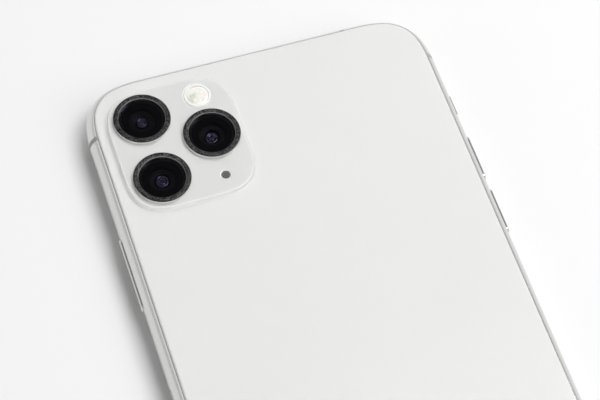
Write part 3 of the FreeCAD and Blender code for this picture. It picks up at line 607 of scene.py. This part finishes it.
# ------ side band
def band_section():
    """Closed section of the band as (inset, z), outside first."""
    steps = 36
    reach = math.asin((lip_rise - lip_round) / (bow_radius - lip_round))
    section = []
    for k in range(steps + 1):
        turn = reach * (2 * k / steps - 1)
        section.append((bow_radius * (1 - math.cos(turn)), mid_z + bow_radius * math.sin(turn)))
    inner = bow_radius - lip_round
    centre = (bow_radius - inner * math.cos(reach), inner * math.sin(reach))
    upper = []
    for k in range(1, 15):
        turn = reach + (math.pi / 2 - reach) * k / 14
        upper.append((centre[0] - lip_round * math.cos(turn), centre[1] + lip_round * math.sin(turn)))
    upper.append((lip_inset, lip_rise - 0.02))
    lower = [(inset, mid_z - rise) for inset, rise in reversed(upper)]
    ledges = [(lip_inset, ledge_high), (ledge_inset, ledge_high), (ledge_inset, ledge_low),
              (lip_inset, ledge_low)]
    return section + [(inset, mid_z + rise) for inset, rise in upper] + ledges + lower


def band_stations():
    """Outline of the body with extra stations where the antenna splits begin and end."""
    outline = soft_outline(2 * half_width, 2 * half_height, body_corner, fine=1.6, straight=12)
    marks = []
    for node in ("left", "right"):
        low, high = node_box("band_" + node)
        marks += [("y", low.y, node), ("y", high.y, node)]
    for node in ("band_top_left", "band_top_right", "band_bottom_left", "band_bottom_right"):
        low, high = node_box(node)
        side = "top" if "top" in node else "bottom"
        if node.endswith("left"):
            marks.append(("x", high.x, side))
            marks.append(("y", low.y if side == "top" else high.y, "left"))
        else:
            marks.append(("x", low.x, side))
            marks.append(("y", low.y if side == "top" else high.y, "right"))
    for axis, value, side in marks:
        outline = with_mark(outline, axis, value, side)
    return outline


def on_side(point, side):
    """Whether a station lies on the named side of the body."""
    return {"left": point[0] < -half_width / 2, "right": point[0] > half_width / 2,
            "top": point[1] > 0.9 * half_height, "bottom": point[1] < -0.9 * half_height}[side]


def with_mark(outline, axis, value, side):
    """Adds a station where the outline crosses a coordinate on the named side."""
    index = 0 if axis == "x" else 1
    for k, a in enumerate(outline):
        b = outline[(k + 1) % len(outline)]
        if on_side(a, side) and on_side(b, side) and (a[index] - value) * (b[index] - value) < 0:
            t = (value - a[index]) / (b[index] - a[index])
            point = tuple(p + (q - p) * t for p, q in zip(a, b))
            scale = math.hypot(point[2], point[3])
            point = (point[0], point[1], point[2] / scale, point[3] / scale)
            return outline[:k + 1] + [point] + outline[k + 1:]
    return outline


def stretch_of(outline, node):
    """The run of stations that lies inside a band node's length."""
    low, high = node_box(node)
    keep = []
    for k, (x, y, _, _) in enumerate(outline):
        inside_y = low.y - 0.02 <= y <= high.y + 0.02
        if node in ("band_left", "band_right"):
            keep.append(inside_y and on_side((x, y), node[5:]))
        else:
            keep.append(inside_y and low.x - 0.02 <= x <= high.x + 0.02)
    start = next(k for k in range(len(keep)) if keep[k] and not keep[k - 1])
    run = []
    k = start
    while keep[k % len(keep)]:
        run.append(outline[k % len(keep)])
        k += 1
    return run


def sweep(shell, run, section):
    """Adds a section carried along a run of stations, closed at both ends."""
    rows = []
    for x, y, nx, ny in run:
        start = len(shell.points)
        shell.points += [(x - nx * inset, y - ny * inset, z) for inset, z in section]
        rows.append(list(range(start, len(shell.points))))
    for a, b in zip(rows, rows[1:]):
        shell.bridge(a, b)
    shell.cap(rows[0])
    shell.cap(rows[-1], up=False)


def cutter(turn, at, outline, low, high):
    """Straight cutter; its depth runs along the third axis."""
    return mesh_from("cutter", prism(outline, low, high), placed(turn, at))


def flared_cutter(turn, at, outline, floor, mouth, flare=0.12):
    """Cutter for a pocket whose mouth is eased by a small chamfer; depth runs along the third axis."""
    shell = Shell()
    levels = [(0, floor), (0, mouth - flare), (-flare, mouth), (-flare - 1, mouth + 1)]
    first, last = shell.walls(outline, levels)
    shell.cap(first, up=False)
    shell.cap(last)
    return mesh_from("cutter", shell, placed(turn, at))


def key_length(node):
    low, high = node_box(node)
    return high.y - low.y


def key_cutters(node, side):
    """Pocket of a push key, with the holes for its posts."""
    turn = SIDE if side > 0 else MIRROR @ SIDE
    at = (0, key_centre(node), mid_z)
    outline = pill_outline(key_length(node) + 0.16, 2.46, 20)
    cutters = [flared_cutter(turn, at, outline, half_width - 1.55, half_width - 0.02, 0.1)]
    for shift, radius in key_posts(node):
        hole = shifted(round_outline(radius + 0.1, 24), (shift, 0))
        cutters.append(cutter(turn, at, hole, half_width - 3.5, half_width - 1.0))
    return cutters


def key_posts(node):
    """Places along the key and radii of its two guide posts and its plunger."""
    reach = key_length(node) / 2 - 1.6
    return [(-reach, 0.45), (0, 0.6), (reach, 0.45)]


def key_centre(node):
    return node_middle(node).y


def band_cutters(node):
    """All the cutters of one length of the band."""
    cutters = []
    if node == "band_right":
        cutters += key_cutters("volume_up_button", 1) + key_cutters("volume_down_button", 1)
        y = key_centre("silent_switch")
        pocket = box_outline(key_length("silent_switch") + 0.4, 3.0, 0.8)
        cutters.append(flared_cutter(SIDE, (0, y, mid_z), pocket, half_width - 1.2, half_width - 0.03, 0.1))
        slot = box_outline(1.6, 2.5, 0.1, 2)
        cutters.append(cutter(SIDE, (0, y, mid_z), slot, half_width - opening_depth, half_width - 1))
    if node == "band_left":
        cutters += key_cutters("side_button", -1)
        y = node_middle("sim_tray").y
        cutters.append(cutter(MIRROR @ SIDE, (0, y, mid_z), pill_outline(15.86, 2.36, 20), half_width - 3.5,
                              half_width + 1))
    if node == "band_bottom_left":
        cutters = bottom_cutters()
    return cutters


def bottom_cutters():
    """Socket mouth, two screw holes and the two rows of sound holes."""
    low = half_height - opening_depth
    mouth = pill_outline(socket_length, socket_height, 20)
    cutters = [flared_cutter(BOTTOM, (0, 0, mid_z), mouth, low, half_height - 0.02, 0.15)]
    for x in (-bottom_screw_x, bottom_screw_x):
        head, shank = round_outline(0.88, 32), round_outline(0.56, 24)
        cutters.append(flared_cutter(BOTTOM, (x, 0, mid_z), head, half_height - 0.75, half_height, 0.06))
        cutters.append(cutter(BOTTOM, (x, 0, mid_z), shank, low, half_height - 0.5))
    row = [-grille_start - grille_pitch * k for k in range(6)]
    row += [grille_start + grille_pitch * k for k in range(3)]
    for x in row:
        hole = round_outline(sound_hole_radius, 32)
        cutters.append(flared_cutter(BOTTOM, (x, 0, mid_z), hole, low, half_height, 0.08))
    return cutters


def outline_normal(outline, x, y):
    """Outward direction of the outline nearest to a place, blended between its two stations."""
    best = min(range(len(outline)), key=lambda k: (outline[k][0] - x) ** 2 + (outline[k][1] - y) ** 2)
    options = []
    for step in (-1, 0):
        a, b = outline[(best + step) % len(outline)], outline[(best + step + 1) % len(outline)]
        run = Vector((b[0] - a[0], b[1] - a[1]))
        t = max(0.0, min(1.0, (Vector((x, y)) - Vector(a[:2])).dot(run) / run.length_squared))
        point = Vector(a[:2]) + run * t
        normal = Vector((a[2] + (b[2] - a[2]) * t, a[3] + (b[3] - a[3]) * t)).normalized()
        options.append(((Vector((x, y)) - point).length, normal))
    return min(options, key=lambda option: option[0])[1]


def bow_slope(z):
    """Upward part of the outward normal of the band at a height."""
    rise = z - mid_z
    centre = lip_rise - lip_round
    if abs(rise) <= centre / (bow_radius - lip_round) * bow_radius:
        return rise / bow_radius
    return math.copysign(min(1.0, (abs(rise) - centre) / lip_round), rise)


def true_band_normals(mesh, outline):
    """Sets the exact normal of the bowed outer face on every corner that lies on it."""
    sharp_by_angle(mesh, 30)
    normals = [Vector(corner.vector) for corner in mesh.corner_normals]
    found = {}
    for face in mesh.polygons:
        for corner in face.loop_indices:
            index = mesh.loops[corner].vertex_index
            if index not in found:
                point = mesh.vertices[index].co / MM
                out = outline_normal(outline, point.x, point.y)
                rise = bow_slope(point.z)
                level = math.sqrt(1 - rise * rise)
                found[index] = Vector((out.x * level, out.y * level, rise))
            if face.normal.dot(found[index]) > 0.985:
                normals[corner] = found[index]
    mesh.normals_split_custom_set(normals)


def build_band():
    """The six steel lengths of the band, with their pockets and holes."""
    outline = band_stations()
    section = band_section()
    for node in ("band_left", "band_right", "band_top_left", "band_top_right", "band_bottom_left",
                 "band_bottom_right"):
        shell = Shell()
        sweep(shell, stretch_of(outline, node), section)
        mesh = mesh_from(node + "_look", shell)
        cutters = band_cutters(node)
        if cutters:
            mesh = cut(mesh, cutters)
        show(mesh, [steel], "phone", [node], weighted=False)
        true_band_normals(mesh, outline)
    return outline, section


def build_splits(outline, section):
    """Plastic fillers of the six gaps, a hair below the steel."""
    ends = []
    for node in ("band_left", "band_top_left", "band_top_right", "band_right", "band_bottom_right",
                 "band_bottom_left"):
        run = stretch_of(outline, node)
        ends.append((run[0], run[-1]))
    shell = Shell()
    thin = [(inset + (0.012 if inset < lip_inset - 0.1 else 0), z) for inset, z in section]
    starts = {tuple(round(v, 4) for v in run[0][:2]) for run in ends}
    for _, last in ends:
        k = outline.index(last)
        run = [outline[k]]
        while True:
            k = (k + 1) % len(outline)
            run.append(outline[k])
            if tuple(round(v, 4) for v in outline[k][:2]) in starts:
                break
        sweep(shell, run, thin)
    mesh = mesh_from("antenna_splits_look", shell)
    show(mesh, [split_plastic], "phone", ["antenna_splits"])


def glass_outline():
    """Outline of the front and back glass, a hair inside the steel lip."""
    outer, inner, turn = body_corner
    return soft_outline(2 * (half_width - glass_inset), 2 * (half_height - glass_inset),
                        (outer - glass_inset, inner - glass_inset, turn), fine=1.5, straight=8)


# ------ back
def build_rear_glass():
    """Back glass with the camera plateau: satin sheet, soft foot, polished top."""
    shell = Shell()
    body = glass_outline()
    low = ledge_high
    levels = [(0.0, low), (0.0, 7.72)] + rounding(0.0, 7.72, 0.38, back_z - 7.72, 12)
    bottom, edge = shell.walls(body, levels)
    inner = shell.loop(body, 0.7, back_z)
    shell.bridge(edge, inner)
    plateau = soft_outline(plateau_width, plateau_length, plateau_corner, fine=1.5, middle=plateau_at)
    foot = [(-0.5 + 0.5 * math.sin(math.pi / 2 * k / 8), back_z + 0.5 - 0.5 * math.cos(math.pi / 2 * k / 8))
            for k in range(9)]
    margin = shell.loop(plateau, -0.62, back_z)
    foot_low, foot_high = shell.walls(plateau, foot, 3)
    shell.bridge(margin, foot_low)
    shell.sheet(inner, [margin])
    rim = rounding(0.0, plateau_top - 0.35, 0.35, 0.35, 8)
    rim_low, rim_high = shell.walls(plateau, rim, 3)
    shell.bridge(foot_high, rim_low, 3)
    flat = shell.loop(plateau, 0.45, plateau_top)
    shell.bridge(rim_high, flat, 1)
    holes_top = []
    holes_low = []
    places = [(at, 5.58, 0.0) for at in cameras.values()] + [(flash_at, 3.0, 0.22), (mic_at, 1.0, 0.25)]
    for at, radius, ease in places:
        circle = round_outline(radius, 72 if radius > 2 else 40, (at.x, at.y))
        outer = shell.loop(circle, -ease - 0.05, plateau_top)
        top = shell.loop(circle, -ease, plateau_top)
        shell.bridge(outer, top, 1)
        last = top
        if ease:
            last = shell.loop(circle, 0, plateau_top - 0.2)
            # the eased rim takes the paler glass: a painted bright ring of light round the hole
            shell.bridge(top, last, 2)
        under = shell.loop(circle, 0, low)
        shell.bridge(last, under)
        holes_top.append(outer)
        holes_low.append(under)
    shell.sheet(flat, holes_top, kind=1)
    shell.sheet(bottom, holes_low, up=False)
    return show(mesh_from("rear_glass_look", shell), [satin_glass, gloss_glass, painted_light_rim_glass, painted_light_edge_glass],
                "phone", ["rear_glass"])


def turned_shell(at, profile, kinds=None, steps=96, closed=True):
    """Shell of revolution through (radius, z) corners."""
    shell = Shell()
    circle = round_outline(1.0, steps, (0, 0))
    loops = []
    for radius, z in profile:
        start = len(shell.points)
        shell.points += [(at.x + c * radius, at.y + s * radius, z) for _, _, c, s in circle]
        loops.append(list(range(start, len(shell.points))))
    pairs = list(zip(loops, loops[1:]))
    if closed:
        pairs.append((loops[-1], loops[0]))
    for k, (a, b) in enumerate(pairs):
        shell.bridge(a, b, kinds[k] if kinds else 0)
    return shell


def disc_shell(at, profile, kinds=None, steps=96):
    """Like turned_shell, but closed by flat discs at both ends of the profile."""
    shell = turned_shell(at, profile, kinds, steps, closed=False)
    first = list(range(steps))
    last = list(range(len(shell.points) - steps, len(shell.points)))
    shell.cap(first, up=False, kind=kinds[0] if kinds else 0)
    shell.cap(last, kind=kinds[-1] if kinds else 0)
    return shell


def build_rings():
    """Lens rings: polished wall, dark edge line, grained face, thin bright line beside the glass."""
    shell = Shell()
    for at in cameras.values():
        profile = [(4.35, 7.4), (5.5, 7.4), (5.5, plateau_top), (6.1, plateau_top), (6.1, ring_top - 0.24),
                   (6.07, ring_top - 0.12), (5.98, ring_top - 0.03), (5.86, ring_top), (5.10, ring_top),
                   (5.03, ring_top - 0.03), (4.95, ring_top - 0.12), (4.95, 9.25), (4.35, 9.25)]
        kinds = [0, 0, 0, 0, 0, 1, 1, 2, 2, 3, 3, 1, 1]
        shell.add(turned_shell(at, profile, kinds, 128))
    mesh = mesh_from("lens_rings_look", shell)
    show(mesh, [ring_wall, ring_rim, ring_face, ring_edge], "phone", ["lens_rings"], angle=25)


def build_windows():
    """Camera windows: clear discs with eased rims, black masks printed underneath."""
    shell = Shell()
    for at in cameras.values():
        profile = [(4.85, 9.27), (4.9, 9.32), (4.9, 9.84), (4.84, 9.9), (4.6, 9.905)]
        shell.add(disc_shell(at, profile, steps=96))
    show(mesh_from("lens_windows_look", shell), [window_glass], "phone", ["lens_windows"])


def build_lens(name, body, flange, depth, ridge, swell):
    """Lens barrel with stepped black rings around a coated front element."""
    at = node_middle(name)
    shell = Shell()
    low, high = 3.7, 8.8
    profile = [(3.3, low), (3.3, 4.3), (flange, 4.3), (flange, 5.9), (3.3, 5.9), (3.3, high - 0.25),
               (3.22, high - 0.08), (3.05, high), (2.55, high), (2.5, high - 0.12), (2.1, high - 0.16),
               (2.05, high - 0.4), (1.75, high - 0.45),
               (1.7, high - depth - 0.3), (1.2, high - depth - 0.6)]
    shell.add(disc_shell(at, profile, steps=72))
    shell.add(lens_element(at, ridge, high - depth, swell))
    show(mesh_from(name + "_look", shell), [barrel_black, lens_coating], body, [name])


def lens_element(at, ridge, z, swell):
    """Front glass element: a dome in the middle, a dip round it and a low ridge of the given radius."""
    reach = 1.3 * ridge
    steps = 44
    profile = [(reach, z - 0.4)]
    for k in range(steps):
        radius = reach * (1 - k / steps)
        profile.append((radius, z + swell / 2 * math.cos(2 * math.pi * radius / ridge)))
    return disc_shell(at, profile, [1] * (steps + 1), 64)


def build_masks():
    """Black masks under the camera windows; the lens shows through the hole."""
    for name, at in cameras.items():
        profile = [(4.3, 9.18), (4.3, 9.24), (2.9, 9.24), (2.9, 9.18)]
        show(mesh_from(name + "_mask_look", turned_shell(at, profile, steps=96)), [black_mask], "phone", [])


def build_flash():
    """Flash window: clear collar around a faceted lens."""
    top = plateau_top
    collar = [(2.35, 7.5), (2.95, 7.5), (2.95, top - 0.12), (2.88, top - 0.02), (2.78, top), (2.42, top),
              (2.35, top - 0.06), (2.35, 7.6)]
    mesh = mesh_from("flash_collar_look", turned_shell(flash_at, collar, steps=80))
    show(mesh, [flash_collar], "phone", [])
    lens = [(2.33, 7.6), (2.33, top - 0.16), (2.2, top - 0.1), (1.6, top - 0.06), (0.8, top - 0.04),
            (0.05, top - 0.035)]
    show(mesh_from("flash_lens_look", disc_shell(flash_at, lens, steps=80)), [flash_lens], "phone",
         ["flash_diffuser"])


# ------ keys and tray
def key_shell(outline, deep, proud, soft):
    """Cap of a key with a soft rim; third axis points out of the phone."""
    shell = Shell()
    levels = [(0, deep)] + rounding(0, proud - soft - 0.01, soft, soft, 7) + [(0.6, proud)]
    first, last = shell.walls(outline, levels)
    shell.cap(first, up=False)
    shell.cap(last)
    return shell


def build_key(node, side):
    """Push key with its guide posts and plunger."""
    turn = SIDE if side > 0 else MIRROR @ SIDE
    length = key_length(node)
    cap = pill_outline(length - 0.06, key_height, 20)
    shell = key_shell(cap, half_width - key_back, half_width + key_proud, 0.3)
    for shift, radius in key_posts(node):
        end = half_width - (3.3 if shift == 0 else 2.95)
        shell.add(prism(shifted(round_outline(radius, 24), (shift, 0)), end, half_width - key_back))
    mesh = mesh_from(node + "_look", shell, placed(turn, (0, key_centre(node), mid_z)))
    show(mesh, [steel], node, [node])


def build_silent_switch():
    """Silent switch, resting towards the display, with its stem."""
    z = mid_z - 0.55
    cap = box_outline(key_length("silent_switch") - 0.04, 1.68, 0.35)
    shell = key_shell(cap, half_width - key_back, half_width + key_proud, 0.06)
    stem = prism(box_outline(1.2, 1.2, 0.1, 2), half_width - 3.7, half_width - key_back)
    shell.add(stem)
    mesh = mesh_from("silent_switch_look", shell, placed(SIDE, (0, key_centre("silent_switch"), z)))
    show(mesh, [steel], "silent_switch", ["silent_switch"])


# ------ front
def screen_outline():
    """Outline of the screen, with the space for the front sensors taken out of its top edge."""
    outer, inner, turn = body_corner
    whole = soft_outline(2 * (half_width - screen_inset), 2 * (half_height - screen_inset),
                         (outer - screen_inset, inner - screen_inset, turn), fine=1.5)
    top = half_height - screen_inset
    shoulder = arc_steps((notch_half + 0.8, top - 0.8), 0.8, 90, 180, 6)
    foot = arc_steps((notch_half - notch_round, notch_low + notch_round), notch_round, 0, -90, 10)
    right = shoulder + foot
    left = [(-x, y, -nx, ny) for x, y, nx, ny in reversed(right)]
    quarter = len(whole) // 4
    return whole[:quarter] + right + left + whole[quarter:]


def build_front():
    """Front glass with its soft rim, earpiece slot and sensor windows; the screen shows as its own area."""
    shell = Shell()
    body = glass_outline()
    levels = [(0.0, 0.75), (0.0, 0.40)]
    levels += [(inset, 0.40 - z) for inset, z in rounding(0.0, 0.0, 0.42, 0.40, 12)]
    top, edge = shell.walls(body, levels)
    slot = shifted(pill_outline(10.4, 1.2, 16), (0, 74.7))
    slot_low = shell.loop(slot, -0.06, 0.0)
    slot_mid = shell.loop(slot, 0.0, 0.08)
    slot_top = shell.loop(slot, 0.0, 0.75)
    shell.bridge(slot_low, slot_mid)
    shell.bridge(slot_mid, slot_top)
    inner = shell.loop(body, 0.7, 0.0)
    shell.bridge(edge, inner)
    screen_edge = shell.loop(screen_outline(), 0.0, 0.0)
    windows = []
    for node in ("front_camera", "infrared_camera", "dot_projector"):
        at = node_middle(node)
        windows.append(shell.loop(round_outline(1.15, 40, (at.x, at.y)), 0.0, 0.0))
    shell.sheet(inner, [slot_low, screen_edge] + windows, up=False)
    shell.sheet(screen_edge, [], up=False, kind=1)
    for window in windows:
        shell.sheet(window, [], up=False, kind=2)
    shell.sheet(top, [slot_top])
    show(mesh_from("cover_glass_look", shell), [front_glass, screen, sensor_window], "phone", ["cover_glass"])


# ------ CAD pieces that stay as they are
carried = {
    sheet_metal: "rear_plate front_sensor_bracket camera_bracket tele_camera_housing wide_camera_housing "
                 "ultrawide_camera_housing haptic_housing sim_reader key_switches internal_screws "
                 "haptic_springs eject_lever eject_plunger",
    mesh_grey: "earpiece_mesh rear_mic_mesh",
    pale_metal: "display_shield",
    black_plastic: "display_frame earpiece_housing silent_switch_body speaker_enclosure port_housing "
                   "front_camera infrared_camera dot_projector",
    grey_plastic: "tele_stabiliser wide_stabiliser",
    seal_rubber: "display_seal sim_tray_seal",
    film: "earpiece_diaphragm speaker_diaphragm",
    board: "camera_sensor_boards flash_board logic_board bottom_microphones",
    gold: "port_contacts",
    cell_wrap: "battery",
    copper: "charging_coil",
    slug_metal: "haptic_mass",
    screen: "display_panel",
    steel: "sim_tray bottom_screws",
}


def dress_carried():
    """Gives the CAD pieces that stay visible their materials."""
    for material, names in carried.items():
        for name in names.split():
            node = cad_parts[name]
            node.data.materials.clear()
            node.data.materials.append(material)


# ------ scene
def camera_place():
    """Camera set by its turn round the phone, height, roll and distance from the point it looks at."""
    turn, rise, roll, distance = math.radians(-22.29), math.radians(58.73), math.radians(4.63), 446.7
    target = Vector((-1.05, 38.7, 8.1))
    back = Vector((math.sin(turn) * math.cos(rise), -math.cos(turn) * math.cos(rise), math.sin(rise)))
    right = Vector((math.cos(turn), math.sin(turn), 0))
    up = back.cross(right)
    right_rolled = right * math.cos(roll) + up * math.sin(roll)
    up_rolled = up * math.cos(roll) - right * math.sin(roll)
    spot = (target + back * distance) * MM
    turned_axes = Matrix((right_rolled, up_rolled, back)).transposed().to_4x4()
    return Matrix.Translation(spot) @ turned_axes


def add_camera():
    """Long lens looking down on the rear cameras from the display's lower left."""
    data = bpy.data.cameras.new("camera")
    data.sensor_width = 36.0
    data.lens = 129.06
    data.clip_start = 0.01
    camera = in_scene("camera", data)
    camera.matrix_world = camera_place()
    bpy.context.scene.camera = camera


def add_floor():
    shell = Shell()
    reach = 3000.0
    shell.points = [(-reach, -reach, 0), (reach, -reach, 0), (reach, reach, 0), (-reach, reach, 0)]
    shell.faces = [(0, 1, 2, 3)]
    shell.kinds = [0]
    floor = in_scene("floor", mesh_from("floor", shell))
    paper = plain("floor_paper", (0.86, 0.86, 0.86), roughness=0.6, vary=0.004, scale=3.0)
    floor.data.materials.append(paper)


def add_light(name, turn, rise, size, power, mirrored=True):
    """Square soft box 1.2 m from the phone; turn runs from the key side (+X) towards the top end."""
    across, up = math.radians(turn), math.radians(rise)
    away = Vector((math.cos(across) * math.cos(up), math.sin(across) * math.cos(up), math.sin(up)))
    data = bpy.data.lights.new(name, "AREA")
    data.shape = "SQUARE"
    data.size = size
    data.energy = power
    light = in_scene(name, data)
    light.location = Vector((0, 0.04, 0)) + away * 1.2
    light.rotation_euler = (-away).to_track_quat("-Z", "Y").to_euler()
    light.visible_glossy = mirrored


def add_world():
    """Even soft light, and darker studio walls seen only in reflections."""
    world = bpy.data.worlds.new("studio")
    world.use_nodes = True
    nodes = world.node_tree.nodes
    links = world.node_tree.links
    background = nodes["Background"]
    background.inputs["Color"].default_value = (1, 1, 1, 1)
    background.inputs["Strength"].default_value = 0.24
    mirrored = nodes.new("ShaderNodeBackground")
    place = nodes.new("ShaderNodeTexCoord")
    height = nodes.new("ShaderNodeSeparateXYZ")
    walls = nodes.new("ShaderNodeValToRGB")
    tones = ((0.0, 0.62), (0.10, 0.72), (0.22, 0.46), (0.40, 0.88), (1.0, 0.88))
    for position, tone in tones[1:-1]:
        walls.color_ramp.elements.new(position).color = (tone, tone, tone, 1)
    walls.color_ramp.elements[0].color = (tones[0][1], tones[0][1], tones[0][1], 1)
    walls.color_ramp.elements[-1].color = (tones[-1][1], tones[-1][1], tones[-1][1], 1)
    links.new(place.outputs["Generated"], height.inputs[0])
    links.new(height.outputs["Z"], walls.inputs["Fac"])

    def ranged(source, start, end, low=0.0, high=1.0):
        node = nodes.new("ShaderNodeMapRange")
        for key, value in (("From Min", start), ("From Max", end), ("To Min", low), ("To Max", high)):
            node.inputs[key].default_value = value
        links.new(source, node.inputs["Value"])
        return node.outputs["Result"]

    both = nodes.new("ShaderNodeMath")
    both.operation = "MULTIPLY"
    links.new(ranged(height.outputs["Z"], 0.62, 0.80), both.inputs[0])
    links.new(ranged(height.outputs["X"], -0.30, 0.10), both.inputs[1])
    dimmed = ranged(both.outputs[0], 0.0, 1.0, 1.0, 0.18)
    links.new(dimmed, mirrored.inputs["Strength"])
    links.new(walls.outputs["Color"], mirrored.inputs["Color"])
    path = nodes.new("ShaderNodeLightPath")
    mix = nodes.new("ShaderNodeMixShader")
    links.new(path.outputs["Is Glossy Ray"], mix.inputs[0])
    links.new(background.outputs[0], mix.inputs[1])
    links.new(mirrored.outputs[0], mix.inputs[2])
    links.new(mix.outputs[0], nodes["World Output"].inputs["Surface"])
    bpy.context.scene.world = world


outline, section = build_band()
build_splits(outline, section)
build_rear_glass()
build_rings()
build_windows()
build_masks()
build_lens("tele_lens", "tele_lens", 3.95, 0.45, 0.95, 0.30)
build_lens("wide_lens", "wide_lens", 3.95, 0.55, 1.2, 0.40)
build_lens("ultrawide_lens", "phone", 5.3, 0.9, 1.1, 0.24)
build_flash()
build_key("side_button", -1)
build_key("volume_up_button", 1)
build_key("volume_down_button", 1)
build_silent_switch()
build_front()
dress_carried()
add_floor()
add_world()
add_light("key", 0, 65, 0.65, 7.8)
add_light("fill", -45, 42, 0.95, 4.9, mirrored=False)
add_light("back", 67, 42, 0.65, 4.2, mirrored=False)
add_light("side", 172, 21, 0.7, 1.2, mirrored=False)
add_camera()
bpy.context.scene.view_settings.view_transform = "Standard"
